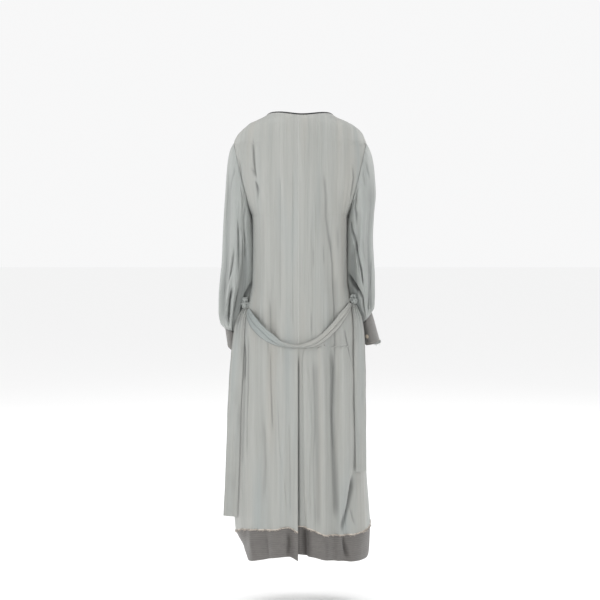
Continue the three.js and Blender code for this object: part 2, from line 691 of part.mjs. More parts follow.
// Hem bands, from just under the seam to the lower edge
function hemGrids(side, face) {
  const columns = face === "back" ? backColumns : frontColumns;
  const outer = [];
  const inner = [];
  for (let row = 0; row <= hemRows; row += 1) {
    const pairs = [];
    for (let column = 0; column <= columns; column += 1) {
      const line = hemLine[side + face];
      const seam = readTable(line, "share", "seam", column / columns) - seamGap;
      const edge = readTable(line, "share", "edge", column / columns);
      pairs.push(lowerPair(side, face, column, columns, mix(seam, edge, row / hemRows), woolWall));
    }
    outer.push(pairs.map((pair) => pair.outer));
    inner.push(pairs.map((pair) => pair.inner));
  }
  return { outer, inner };
}

for (const side of sideNames) {
  for (const face of faceNames) {
    const panel = panelGrids(side, face);
    addMesh(`${face}_${side}`, wallGeometry(panel.outer, panel.inner, false), satin);
    const hem = hemGrids(side, face);
    addMesh(`hem_${face}_${side}`, wallGeometry(hem.outer, hem.inner, false), wool);
  }
}

// Neck binding: a narrow dark tape on the edge of the neckline, from one front edge round to the other
function bindingStation(side, face, across) {
  const place = topEdge(side, face, across);
  const point = bodyPoint(side, face, place.share, place.z);
  return { point, normal: bodyNormal(side, face, place.share, place.z) };
}

// The stations of one half of the neckline stand on the columns of the panels below it
function bindingHalf(side) {
  const backSteps = backColumns * neckColumnShare.back;
  const frontSteps = frontColumns * neckColumnShare.front;
  const line = [];
  for (let step = 0; step <= backSteps; step += 1) {
    line.push(bindingStation(side, "back", step / backColumns));
  }
  for (let step = frontSteps - 1; step >= 0; step -= 1) {
    line.push(bindingStation(side, "front", step / frontColumns));
  }
  return line;
}

function bindingPath() {
  return [...bindingHalf("left").slice(1).reverse(), ...bindingHalf("right")];
}

function bindingGrids() {
  const path = bindingPath();
  const outer = [];
  const inner = [];
  path.forEach((station, index) => {
    const before = path[Math.max(0, index - 1)].point;
    const after = path[Math.min(path.length - 1, index + 1)].point;
    const along = after.clone().sub(before).normalize();
    const rise = along.clone().cross(station.normal).normalize();
    const toMiddle = new THREE.Vector3(-station.point.x, neckMiddleY - station.point.y, 0);
    if (rise.dot(toMiddle) < 0) rise.negate();
    const foot = station.point.clone().addScaledVector(rise, bindingClear);
    const top = station.point.clone().addScaledVector(rise, bindingRise);
    outer.push([foot, top].map((place) => place.clone().addScaledVector(station.normal, bindingOut)));
    inner.push([foot, top].map((place) => place.clone().addScaledVector(station.normal, -bindingIn)));
  });
  return { outer, inner };
}

const binding = bindingGrids();
addMesh("neck_binding", wallGeometry(binding.outer, binding.inner, false), darkTape);

// Sleeves: ovals through an outer and an inner point, with gathers that grow towards the cuff
function sleeveSection(side, at) {
  const read = (name) => readTable(sleeveSections[side], "at", name, at);
  const sign = sideSign[side];
  const outer = new THREE.Vector3(sign * read("outerX"), 0, read("outerZ"));
  const inner = new THREE.Vector3(sign * read("innerX"), 0, read("innerZ"));
  return { outer, inner, depth: read("depth"), middleY: read("middleY") };
}

// A point of an oval. The turn is 0 at its outer point, a quarter at the back and a half at its inner point
function ovalPoint(section, turn, lift) {
  const middle = section.outer.clone().add(section.inner).multiplyScalar(0.5);
  const arm = section.outer.clone().sub(section.inner).multiplyScalar(0.5);
  const reach = arm.length();
  const direction = arm.normalize();
  const angle = turn * fullTurn;
  const flat = new THREE.Vector2(Math.cos(angle) * reach, Math.sin(angle) * section.depth);
  const out = new THREE.Vector2(Math.cos(angle) * section.depth, Math.sin(angle) * reach).normalize();
  flat.addScaledVector(out, lift);
  const point = middle.addScaledVector(direction, flat.x);
  point.y = section.middleY + flat.y;
  return point;
}

function turnGap(turn, other) {
  const gap = Math.abs(turn - other) % 1;
  return Math.min(gap, 1 - gap);
}

function sleeveLift(side, at, turn, column) {
  const nearBody = smooth((turnGap(turn, innerTurn) - innerCalm.from) / innerCalm.over);
  const { start, end, rightTurn } = sleeveFoldEase;
  let lift = 0;
  for (const fold of sleeveFolds) {
    const strength = smooth((at - fold.from) / start) * smooth((fold.to - at) / end);
    const place = side === "left" ? fold.turn : fold.turn + rightTurn;
    lift += fold.height * strength * hump(turnGap(turn, place) / fold.half);
  }
  const { from, cuffFrom, unevenShare, unevenWaves } = sleeveGathers;
  const grow = smooth((at - from) / (1 - from));
  const atCuff = smooth((at - cuffFrom) / (1 - cuffFrom));
  const uneven = 1 - unevenShare + unevenShare * Math.sin(turn * fullTurn * unevenWaves + sideSign[side]);
  const wave = column % 2 === 0 ? 1 : -1;
  const gather = mix(sleeveGathers.height * grow, sleeveGathers.atCuff, atCuff) * uneven * wave;
  return (lift * (1 - atCuff) + gather) * nearBody;
}

function sleeveGrids(side) {
  const outer = [];
  const inner = [];
  for (let row = 0; row <= sleeveRows; row += 1) {
    const at = row / sleeveRows;
    const section = sleeveSection(side, at);
    const line = [];
    const inside = [];
    for (let column = 0; column < sleeveColumns; column += 1) {
      const turn = column / sleeveColumns;
      const lift = row === 0 ? 0 : sleeveLift(side, at, turn, column);
      line.push(ovalPoint(section, turn, lift));
      inside.push(ovalPoint(section, turn, lift - satinWall));
    }
    outer.push(line);
    inner.push(inside);
  }
  return { outer, inner };
}

// Cuffs: the band starts under its own end, which laps over it and carries the button
function cuffSection(side, along) {
  const top = sleeveSection(side, 1);
  const end = cuffEnds[side];
  const sign = sideSign[side];
  const lowOuter = new THREE.Vector3(sign * end.outerX, 0, end.outerZ);
  const lowInner = new THREE.Vector3(sign * end.innerX, 0, end.innerZ);
  const below = new THREE.Vector3(0, 0, mix(-cuffGap, 0, along));
  return {
    outer: top.outer.clone().lerp(lowOuter, along).add(below),
    inner: top.inner.clone().lerp(lowInner, along).add(below),
    depth: mix(top.depth, end.depth, along),
    middleY: mix(top.middleY, end.middleY, along),
  };
}

function cuffPoint(side, along, share, wallIn) {
  const turn = cuffLap.start + share * (1 + cuffLap.share);
  const riseStart = 1 - cuffLap.riseShares * cuffLap.share;
  const riseEnd = 1 - cuffLap.flatShares * cuffLap.share;
  const lap = smooth((share - riseStart) / (riseEnd - riseStart));
  return ovalPoint(cuffSection(side, along), turn, cuffLap.lift * lap - wallIn);
}

function cuffGrids(side) {
  const outer = [];
  const inner = [];
  for (let row = 0; row <= cuffRows; row += 1) {
    const along = row / cuffRows;
    const shares = Array.from({ length: cuffColumns + 1 }, (_, column) => column / cuffColumns);
    outer.push(shares.map((share) => cuffPoint(side, along, share, 0)));
    inner.push(shares.map((share) => cuffPoint(side, along, share, woolWall)));
  }
  return { outer, inner };
}

// A round button with a raised rim, seated on the cuff's lap
function buttonMesh(side) {
  const { radius, thick, dish, sides } = button;
  const profile = [
    new THREE.Vector2(0, 0),
    new THREE.Vector2(radius * buttonRim.foot, 0),
    new THREE.Vector2(radius, thick * buttonRim.wideAt),
    new THREE.Vector2(radius * buttonRim.top, thick),
    new THREE.Vector2(radius * buttonRim.inner, thick),
    new THREE.Vector2(radius * buttonRim.dish, thick - dish),
    new THREE.Vector2(0, thick - dish),
  ];
  const mesh = addMesh(`cuff_button_${side}`, new THREE.LatheGeometry(profile, sides), horn);
  const share = 1 - cuffLap.share * cuffLap.buttonAt;
  const place = cuffPoint(side, button.alongCuff, share, 0);
  const along = cuffPoint(side, button.alongCuff + buttonStep.along, share, 0).sub(place);
  const across = cuffPoint(side, button.alongCuff, share + buttonStep.share, 0).sub(place);
  const normal = across.cross(along).normalize();
  const middle = cuffSection(side, button.alongCuff);
  const centre = middle.outer.clone().add(middle.inner).multiplyScalar(0.5);
  centre.y = middle.middleY;
  if (normal.dot(place.clone().sub(centre)) < 0) normal.negate();
  mesh.position.copy(place.addScaledVector(normal, button.seat));
  mesh.quaternion.setFromUnitVectors(new THREE.Vector3(0, 1, 0), normal);
  return mesh;
}

for (const side of sideNames) {
  const sleeve = sleeveGrids(side);
  addMesh(`sleeve_${side}`, wallGeometry(sleeve.outer, sleeve.inner, true), sleeveSatin);
  const cuff = cuffGrids(side);
  addMesh(`cuff_${side}`, wallGeometry(cuff.outer, cuff.inner, false), wool);
  buttonMesh(side);
}

// Belt: the sling across the back, hung clear of the folds behind it
function slingGrids() {
  const rows = slingRows.map((row, index) => ({ ...row, at: index }));
  const outer = [];
  const last = (rows.length - 1) * slingStepsPerRow;
  for (let step = 0; step <= last; step += 1) {
    const at = step / slingStepsPerRow;
    const read = (name, where) => readTable(rows, "at", name, where);
    const before = Math.max(0, at - slingReach);
    const after = Math.min(rows.length - 1, at + slingReach);
    const along = new THREE.Vector2(
      read("x", after) - read("x", before),
      read("z", after) - read("z", before),
    );
    const across = new THREE.Vector2(-along.y, along.x).normalize();
    const line = [];
    for (let column = 0; column <= beltColumns; column += 1) {
      const side = (2 * column) / beltColumns - 1;
      const x = read("x", at) + (across.x * side * read("height", at)) / 2;
      const z = read("z", at) + (across.y * side * read("height", at)) / 2;
      const lift = beltClear + read("bulge", at) * (1 - side * side);
      line.push(new THREE.Vector3(x, backDepth(x, z) + lift, z));
    }
    outer.push(line);
  }
  return { outer, inner: innerGrid(outer, beltWall) };
}

// The grid moved in towards the body by the thickness of the cloth
function innerGrid(outer, wall) {
  const normals = gridNormals(outer);
  return outer.map((line, row) =>
    line.map((point, column) => {
      const normal = normals[row][column];
      const away = normal.y > 0 ? -wall : wall;
      return point.clone().addScaledVector(normal, away);
    }),
  );
}

// A free end of the belt, which hangs flat beside the back with its outer edge turned a little forward
function tailGrids(side) {
  const rows = tailRows[side];
  const top = rows[0].z;
  const bottom = rows[rows.length - 1].z;
  const outer = [];
  for (let step = 0; step <= tailRowCount; step += 1) {
    const z = mix(top, bottom, (step / tailRowCount) ** tailRowGrowth);
    const near = readTable(rows, "z", "near", z);
    const far = readTable(rows, "z", "far", z);
    const turnIn = readTable(rows, "z", "turnIn", z);
    const inside = readTable(bodySections, "z", side, z) - tailInsideEdge;
    const start = backDepth(sideSign[side] * Math.min(near, inside), z);
    const line = [];
    for (let column = 0; column <= beltColumns; column += 1) {
      const across = column / beltColumns;
      const wave = tailWave.height * Math.sin(step * tailWave.step + across * tailWave.across);
      const y = start + tailClear - turnIn * across * across + wave;
      line.push(new THREE.Vector3(sideSign[side] * mix(near, far, across), y, z));
    }
    outer.push(line);
  }
  return { outer, inner: innerGrid(outer, beltWall) };
}

// The stretch of the belt that is bunched in its side loop
function knotCentre(side) {
  const knot = gatherKnots[side];
  const point = bodyPoint(side, "back", knot.share, knot.z);
  return point.addScaledVector(bodyNormal(side, "back", knot.share, knot.z), knot.out);
}

function knotGeometry(side) {
  const knot = gatherKnots[side];
  const geometry = new THREE.SphereGeometry(1, gatherPleats.around, gatherPleats.rows);
  const place = geometry.getAttribute("position");
  const centre = knotCentre(side);
  for (let index = 0; index < place.count; index += 1) {
    const turn = Math.atan2(place.getZ(index), place.getX(index));
    const pleat = 1 + gatherPleats.height * Math.cos(turn * gatherPleats.count);
    place.setXYZ(
      index,
      centre.x + place.getX(index) * knot.wide * pleat,
      centre.y + place.getZ(index) * knot.deep * pleat,
      centre.z + place.getY(index) * knot.tall,
    );
  }
  return geometry;
}

// A closed geometry as a solid, and back again
function solidOf(geometry) {
  const bare = geometry.clone();
  bare.deleteAttribute("normal");
  bare.deleteAttribute("uv");
  const merged = mergeVertices(bare, weldWithin);
  const positions = Array.from(merged.getAttribute("position").array);
  const faces = facingOut(positions, Array.from(merged.index.array));
  const mesh = new wasm.Mesh({
    numProp: 3,
    vertProperties: Float32Array.from(positions),
    triVerts: Uint32Array.from(faces),
  });
  return new wasm.Manifold(mesh);
}

function geometryOf(solid) {
  const mesh = solid.getMesh();
  const geometry = new THREE.BufferGeometry();
  geometry.setAttribute("position", new THREE.BufferAttribute(mesh.vertProperties, 3));
  geometry.setIndex(new THREE.BufferAttribute(mesh.triVerts, 1));
  return geometry;
}

const sling = slingGrids();
let beltSolid = solidOf(wallGeometry(sling.outer, sling.inner, false));
for (const side of sideNames) {
  const tail = tailGrids(side);
  beltSolid = beltSolid.add(solidOf(wallGeometry(tail.outer, tail.inner, false)));
  beltSolid = beltSolid.add(solidOf(knotGeometry(side)));
}
addMesh("belt", geometryOf(beltSolid), satin);

// Side loops: a thread that leaves the coat on one side of the bunched belt and meets it on the other
function loopMesh(side) {
  const knot = gatherKnots[side];
  const centre = knotCentre(side);
  const level = knot.z + loopThread.above;
  centre.z = level;
  const normal = bodyNormal(side, "back", knot.share, knot.z).setZ(0).normalize();
  const forward = new THREE.Vector3(-normal.y, normal.x, 0);
  const foot = (way) => {
    const share = knot.share + way * loopThread.footShare;
    const start = bodyPoint(side, "back", share, level);
    return start.addScaledVector(bodyNormal(side, "back", share, level), loopThread.footClear);
  };
  const startWay = forward.dot(foot(1).sub(centre)) > 0 ? 1 : -1;
  const path = [foot(startWay)];
  for (let step = 0; step <= loopThread.bends; step += 1) {
    const angle = mix(loopThread.startAngle, Math.PI - loopThread.startAngle, step / loopThread.bends);
    const place = centre.clone().addScaledVector(forward, Math.cos(angle) * loopThread.radius);
    path.push(place.addScaledVector(normal, Math.sin(angle) * loopThread.radius));
  }
  path.push(foot(-startWay));
  const section = new THREE.Shape();
  for (let corner = 0; corner < loopThread.sides; corner += 1) {
    const angle = (corner / loopThread.sides) * fullTurn;
    const place = [Math.cos(angle) * loopThread.half, Math.sin(angle) * loopThread.half];
    if (corner === 0) section.moveTo(...place);
    else section.lineTo(...place);
  }
  section.closePath();
  const extrudePath = new THREE.CatmullRomCurve3(path);
  const settings = { steps: loopThread.steps, bevelEnabled: false, extrudePath };
  return addMesh(`belt_loop_${side}`, new THREE.ExtrudeGeometry(section, settings), satin);
}

for (const side of sideNames) loopMesh(side);

export default group;
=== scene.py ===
import math
import bpy
import numpy as np
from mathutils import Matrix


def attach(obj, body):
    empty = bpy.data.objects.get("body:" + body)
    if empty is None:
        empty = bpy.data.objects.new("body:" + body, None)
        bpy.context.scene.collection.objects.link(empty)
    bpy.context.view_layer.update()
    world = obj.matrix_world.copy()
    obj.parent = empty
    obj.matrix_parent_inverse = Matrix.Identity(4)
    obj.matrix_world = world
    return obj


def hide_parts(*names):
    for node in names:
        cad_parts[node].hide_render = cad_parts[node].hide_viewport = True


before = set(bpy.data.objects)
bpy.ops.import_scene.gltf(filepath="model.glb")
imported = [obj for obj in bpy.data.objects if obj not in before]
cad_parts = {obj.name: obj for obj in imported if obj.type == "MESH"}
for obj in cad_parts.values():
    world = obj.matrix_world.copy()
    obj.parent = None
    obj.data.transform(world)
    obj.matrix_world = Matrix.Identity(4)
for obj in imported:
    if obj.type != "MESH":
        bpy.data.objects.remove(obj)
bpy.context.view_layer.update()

fine = 1.0  # share of the full mesh density


def stage(text):
    print("stage:", text)


def table(columns, *rows):
    return {name: np.array(values, float) for name, values in zip(columns.split(), zip(*rows))}


def mix(low, high, share):
    return low + (high - low) * share


def smooth(value):
    held = np.clip(value, 0, 1)
    return held * held * (3 - 2 * held)


def hump(offset):
    return np.where(np.abs(offset) < 1, (1 + np.cos(np.pi * np.clip(offset, -1, 1))) / 2, 0)


def curveAt(keys, values, at):
    # a smooth curve through a table's rows that never overshoots them
    sign = -1 if keys[-1] < keys[0] else 1
    keys = keys * sign
    at = np.clip(np.asarray(at, float) * sign, keys[0], keys[-1])
    steps = np.diff(keys)
    slopes = np.diff(values) / steps
    pulls = np.empty(len(keys))
    pulls[0], pulls[-1] = slopes[0], slopes[-1]
    before, after = slopes[:-1], slopes[1:]
    total = np.where(np.abs(before + after) < 1e-12, 1, before + after)
    pulls[1:-1] = np.where(before * after <= 0, 0, 2 * before * after / total)
    row = np.clip(np.searchsorted(keys, at, side="right") - 1, 0, len(keys) - 2)
    t = (at - keys[row]) / steps[row]
    start, end = values[row], values[row + 1]
    startPull, endPull = pulls[row] * steps[row], pulls[row + 1] * steps[row]
    return (start + t * startPull + t * t * (3 * (end - start) - 2 * startPull - endPull)
            + t * t * t * (2 * (start - end) + startPull + endPull))


def read(rows, name, at, key="z"):
    return curveAt(rows[key], rows[name], at)


def shares(count):
    return np.arange(count + 1) / count


def roundTurn(count):
    return np.linspace(0, 2 * math.pi, count, endpoint=False)


def walkedAlong(points):
    # the length walked from the first of the points to each of them
    steps = np.linalg.norm(np.diff(points, axis=0), axis=1)
    return np.concatenate([[0], np.cumsum(steps)])


def softNoise(u, v, cellU, cellV, seed):
    # smooth random waves between -1 and 1, stretched to cells of the given size
    lattice = np.random.default_rng(seed).uniform(-1, 1, (64, 64))
    a, b = np.asarray(u) / cellU, np.asarray(v) / cellV
    i, j = np.floor(a).astype(int), np.floor(b).astype(int)
    s, t = smooth(a - i), smooth(b - j)
    low = mix(lattice[i % 64, j % 64], lattice[(i + 1) % 64, j % 64], s)
    high = mix(lattice[i % 64, (j + 1) % 64], lattice[(i + 1) % 64, (j + 1) % 64], s)
    return mix(low, high, t)


# Camera, floor and light
studio = {
    "distance": 5.0, "height": -0.356, "halfWidth": 0.981, "dropShare": 0.125, "sensor": 36,
    "floorZ": -1.6, "floorReach": 40.0, "floorTone": 0.97,
    "backdrop": (0.935, 0.935, 0.937), "roomLight": 0.31, "topLight": 2.0, "topSoftness": 50,
    "lamps": [
        # place, aimed at, width, height, power
        ((3.9, 2.5, 1.2), (0, 0, -0.7), 1.0, 2.0, 60),
        ((-4.0, 2.6, 0.9), (0, 0, -0.7), 1.0, 2.2, 34),
        ((0.5, 5.0, 0.6), (0, 0, -0.8), 1.4, 1.4, 52),
        ((-3.6, -2.8, 1.3), (0, 0, -0.7), 1.2, 2.4, 70),
        ((3.8, -2.6, 1.1), (0, 0, -0.7), 1.2, 2.4, 44),
    ],
}


def addObject(name, data):
    made = bpy.data.objects.new(name, data)
    bpy.context.collection.objects.link(made)
    return made


def addNode(tree, kind, settings=None, inputs=None):
    # a node with its settings, and with its inputs linked to sockets or set to values
    made = tree.nodes.new(kind)
    for key, value in (settings or {}).items():
        setattr(made, key, value)
    for key, value in (inputs or {}).items():
        socket = getattr(value, "socket", value)
        if isinstance(socket, bpy.types.NodeSocket):
            tree.links.new(socket, made.inputs[key])
        else:
            made.inputs[key].default_value = value
    return made


def makeStudio():
    camera = addObject("camera", bpy.data.cameras.new("camera"))
    camera.location = (0, studio["distance"], studio["height"])
    camera.rotation_euler = (math.pi / 2, 0, math.pi)
    camera.data.sensor_width = studio["sensor"]
    camera.data.lens = studio["sensor"] / 2 * studio["distance"] / studio["halfWidth"]
    camera.data.shift_y = -studio["dropShare"]
    bpy.context.scene.camera = camera
    reach = studio["floorReach"]
    mesh = bpy.data.meshes.new("floor")
    corners = [(-reach, -reach), (reach, -reach), (reach, reach), (-reach, reach)]
    mesh.from_pydata([(x, y, studio["floorZ"]) for x, y in corners], [], [(0, 1, 2, 3)])
    floor = addObject("floor", mesh)
    pale = bpy.data.materials.new("paleFloor")
    pale.use_nodes = True
    shader = pale.node_tree.nodes["Principled BSDF"]
    shader.inputs["Base Color"].default_value = (*[studio["floorTone"]] * 3, 1)
    shader.inputs["Roughness"].default_value = 1
    shader.inputs["Specular IOR Level"].default_value = 0
    mesh.materials.append(pale)
    world = bpy.data.worlds.new("paleRoom")
    world.use_nodes = True
    background = world.node_tree.nodes["Background"]
    background.inputs["Color"].default_value = (*studio["backdrop"], 1)
    background.inputs["Strength"].default_value = studio["roomLight"]
    tree = world.node_tree
    # what the eye sees past the floor
    seen = addNode(tree, "ShaderNodeBackground", None, {"Color": (*studio["backdrop"], 1)})
    rays = addNode(tree, "ShaderNodeLightPath")
    choose = addNode(tree, "ShaderNodeMixShader", None,
                     {0: rays.outputs["Is Camera Ray"], 1: background.outputs[0], 2: seen.outputs[0]})
    tree.links.new(choose.outputs[0], tree.nodes["World Output"].inputs[0])
    bpy.context.scene.world = world
    top = bpy.data.lights.new("topLight", "SUN")
    top.energy, top.angle = studio["topLight"], math.radians(studio["topSoftness"])
    addObject("topLight", top)
    for number, (place, target, width, height, power) in enumerate(studio["lamps"]):
        data = bpy.data.lights.new(f"lamp{number}", "AREA")
        data.shape = "RECTANGLE"
        data.size, data.size_y, data.energy = width, height, power
        lamp = addObject(f"lamp{number}", data)
        lamp.location = place
        aim = np.array(target, float) - np.array(place, float)
        flat = math.hypot(aim[0], aim[1])
        lamp.rotation_euler = (math.pi / 2 + math.atan2(aim[2], flat), 0, math.atan2(-aim[0], aim[1]))
    bpy.context.scene.view_settings.view_transform = "Standard"


makeStudio()
stage("studio")


# Finishes
class Value:
    # a socket that takes part in Python arithmetic and adds its Math nodes
    def __init__(self, tree, socket):
        self.tree, self.socket = tree, socket

    def compute(self, operation, *others, swap=False):
        node = self.tree.nodes.new("ShaderNodeMath")
        node.operation = operation
        items = [self, *others]
        if swap:
            items.reverse()
        for place, item in zip(node.inputs, items):
            if isinstance(item, Value):
                self.tree.links.new(item.socket, place)
            else:
                place.default_value = item
        return Value(self.tree, node.outputs[0])

    def __add__(self, other): return self.compute("ADD", other)
    __radd__ = __add__
    def __sub__(self, other): return self.compute("SUBTRACT", other)
    def __rsub__(self, other): return self.compute("SUBTRACT", other, swap=True)
    def __mul__(self, other): return self.compute("MULTIPLY", other)
    __rmul__ = __mul__
    def sine(self): return self.compute("SINE")
    def held(self):
        made = self.compute("ADD", 0.0)
        made.socket.node.use_clamp = True
        return made


class Finish:
    def __init__(self, name, **constants):
        self.material = bpy.data.materials.new(name)
        self.material.use_nodes = True
        self.tree = self.material.node_tree
        self.shader = self.tree.nodes["Principled BSDF"]
        for key, value in constants.items():
            self.shader.inputs[key.replace("_", " ")].default_value = value

    def node(self, kind, settings=None, inputs=None):
        return addNode(self.tree, kind, settings, inputs)

    def cloth(self):
        # metres across and along the cloth
        uv = self.node("ShaderNodeUVMap", {"uv_map": "cloth"})
        parts = self.node("ShaderNodeSeparateXYZ", None, {0: uv.outputs[0]})
        return Value(self.tree, parts.outputs[0]), Value(self.tree, parts.outputs[1])

    def place(self, u, v, w=0.0):
        return self.node("ShaderNodeCombineXYZ", None, {0: u, 1: v, 2: w}).outputs[0]

    def noise(self, vector, scale=1.0, detail=2.0, roughness=0.5):
        made = self.node("ShaderNodeTexNoise", {"noise_dimensions": "3D"},
                         {"Vector": vector, "Scale": scale, "Detail": detail, "Roughness": roughness})
        return Value(self.tree, made.outputs[0])

    def objectNoise(self, scale, detail=2.0):
        where = self.node("ShaderNodeTexCoord").outputs["Object"]
        return self.noise(where, scale, detail)

    def attribute(self, name):
        made = self.node("ShaderNodeAttribute", {"attribute_name": name})
        return Value(self.tree, made.outputs["Fac"])

    def blend(self, share, low, high):
        made = self.node("ShaderNodeMix", {"data_type": "RGBA"}, {0: share})
        for place, colour in ((made.inputs[6], low), (made.inputs[7], high)):
            if isinstance(colour, tuple):
                place.default_value = (*colour, 1)
            else:
                self.tree.links.new(colour, place)
        return made.outputs[2]

    def bump(self, height, strength, distance, normal=None):
        inputs = {"Height": height, "Strength": strength, "Distance": distance}
        if normal is not None:
            inputs["Normal"] = normal
        return self.node("ShaderNodeBump", None, inputs).outputs[0]

    def finish(self, colour=None, roughness=None, normal=None):
        for key, value in (("Base Color", colour), ("Roughness", roughness), ("Normal", normal)):
            if value is not None:
                socket = value.socket if isinstance(value, Value) else value
                self.tree.links.new(socket, self.shader.inputs[key])
        return self.material


def linear(*shown):
    # red, green and blue as a screen shows them, from 0 to 255, to the light they stand for
    return tuple(((part / 255 + 0.055) / 1.055) ** 2.4 for part in shown)


satinLook = {
    "pale": linear(177, 178, 174), "deep": linear(148, 150, 146),
    "cool": linear(154, 164, 166), "warm": linear(176, 169, 159),
    # the colour after the raw edge's colour is painted shade, laid into creases, recesses and edges by the
    # shade mark
    "edge": linear(206, 197, 187), "hollow": linear(78, 80, 79),
    "sheen": 0.12, "specular": 0.3, "weave": (5200, 4300), "tone": 0.55, "drift": (17, 1.1),
    # the warm and cool drift is the satin's own uneven tone; the share after it sets the painted cool shade
    # tint
    "warmOver": 0.53, "warmShare": 1.8, "coolUnder": 0.45, "coolShare": 2.0, "shadeTintShare": 0.6,
    "ravel": 260, "ravelShare": 0.55, "ravelSharp": 4, "roughness": 0.4, "roughPatch": 0.16,
}
# streaks along the satin: cells a metre across and along, where the noise is cut, its detail and its weight
satinStreaks = {"broad": (26, 1.3, 0, 3, 0.95), "thin": (120, 2.6, 3, 3, 0.6), "hair": (420, 9, 7, 2, 0.35)}


def satinFinish(name, shadeTint=None):
    look = satinLook
    made = Finish(name, Sheen_Weight=look["sheen"], Specular_IOR_Level=look["specular"])
    u, v = made.cloth()
    streaks, tone = {}, look["tone"]
    for key, (across, along, cut, detail, weight) in satinStreaks.items():
        streaks[key] = made.noise(made.place(u * across, v * along, float(cut)), 1, detail, 0.6)
        tone = (streaks[key] - 0.5) * weight + tone
    tone = tone.held()
    colour = made.blend(tone, look["deep"], look["pale"])
    warmth = made.noise(made.place(u * look["drift"][0], v * look["drift"][1], 11.0), 1, 2)
    colour = made.blend((warmth - look["warmOver"]).held() * look["warmShare"], colour, look["warm"])
    colour = made.blend((look["coolUnder"] - warmth).held() * look["coolShare"], colour, look["cool"])
    # painted shade: where the cool mark is set, the colour is pulled toward a cool grey tint that stands in
    # for shade
    if shadeTint:
        colour = made.blend(made.attribute("cool") * look["shadeTintShare"], colour, shadeTint)
    # painted shade: the shade mark pulls the colour toward the painted shade colour in creases, recesses and
    # along edges
    colour = made.blend(made.attribute("shade"), colour, look["hollow"])
    edge = made.attribute("rawEdge")
    ragged = made.noise(made.place(u * look["ravel"], v * look["ravel"]), 1, 2)
    raw = ((edge - ragged * look["ravelShare"]) * look["ravelSharp"]).held()
    colour = made.blend(raw, colour, look["edge"])
    weave = (u * look["weave"][0]).sine() * 0.5 + (v * look["weave"][1]).sine() * 0.5
    normal = made.bump(streaks["thin"] * 0.9 + streaks["hair"] * 0.5, 0.7, 0.003)
    normal = made.bump(weave + made.noise(made.place(u * 900, v * 300), 1, 2) * 2, 0.16, 0.0002, normal)
    patches = made.noise(made.place(u * 60, v * 4), 1, 2)
    return made.finish(colour, patches * look["roughPatch"] + look["roughness"], normal)


# noise across and down the wool in cells a metre, then how much each gives to the tone
woolLook = {
    "sheen": 0.3, "specular": 0.2, "drift": (14, 40), "slub": (55, 420), "fuzz": (1400, 1400),
    "ribWaver": 0.004, "ribTone": 0.35, "slubTone": 1.2, "driftTone": 0.7, "tone": 0.35,
    # the colour after the rib bump is painted shade for the hem's creases and the recess under the vent
    "fuzzOver": 0.45, "ribBump": 0.6, "hollow": linear(44, 40, 38), "roughness": 0.82, "roughSlub": 0.1,
}


def woolFinish(name, pale, deep, ribs):
    look = woolLook
    made = Finish(name, Sheen_Weight=look["sheen"], Specular_IOR_Level=look["specular"])
    u, v = made.cloth()
    places = {key: made.place(u * look[key][0], v * look[key][1]) for key in ("drift", "slub", "fuzz")}
    drift = made.noise(places["drift"], 1, 3)
    rib = ((v + (drift - 0.5) * look["ribWaver"]) * (2 * math.pi / ribs)).sine() * 0.5 + 0.5
    slub = made.noise(places["slub"], 1, 3, 0.6)
    tone = rib * look["ribTone"] + (slub - 0.5) * look["slubTone"] + (drift - 0.5) * look["driftTone"]
    colour = made.blend((tone + look["tone"]).held(), deep, pale)
    fuzz = made.noise(places["fuzz"], 1, 2)
    colour = made.blend((fuzz - look["fuzzOver"]).held(), colour, pale)
    # painted shade: the shade mark darkens the wool in creases and in the recess under the vent
    colour = made.blend(made.attribute("shade"), colour, look["hollow"])
    normal = made.bump(rib * look["ribBump"] + slub, 0.6, 0.0012)
    normal = made.bump(fuzz, 0.4, 0.0006, normal)
    return made.finish(colour, slub * look["roughSlub"] + look["roughness"], normal)


def plainFinish(name, pale, deep, roughness, scale):
    made = Finish(name)
    tone = made.objectNoise(scale, 4)
    colour = made.blend(tone, deep, pale)
    normal = made.bump(made.objectNoise(scale * 6, 3), 0.3, 0.0003)
    return made.finish(colour, tone * 0.12 + roughness, normal)


finishes = {
    "satin": satinFinish("satin"),
    # sleeves and belt: the same satin with a painted cool shade tint, laid on by the cool mark
    "sleeveSatinShaded": satinFinish("sleeveSatinShaded", linear(160, 165, 163)),
    "beltSatinShaded": satinFinish("beltSatinShaded", linear(154, 163, 163)),
    "wool": woolFinish("wool", linear(123, 120, 117), linear(96, 94, 92), 0.0062),
    "cuffWool": woolFinish("cuffWool", linear(133, 131, 128), linear(106, 105, 103), 0.0046),
    "darkTape": plainFinish("darkTape", linear(48, 47, 50), linear(28, 28, 31), 0.75, 260),
    "horn": plainFinish("horn", linear(224, 214, 198), linear(176, 160, 138), 0.3, 420),
    "rawThread": plainFinish("rawThread", linear(214, 205, 193), linear(184, 173, 162), 0.85, 700),
    "satinThread": plainFinish("satinThread", linear(178, 181, 178), linear(150, 154, 152), 0.5, 700),
}
stage("finishes")

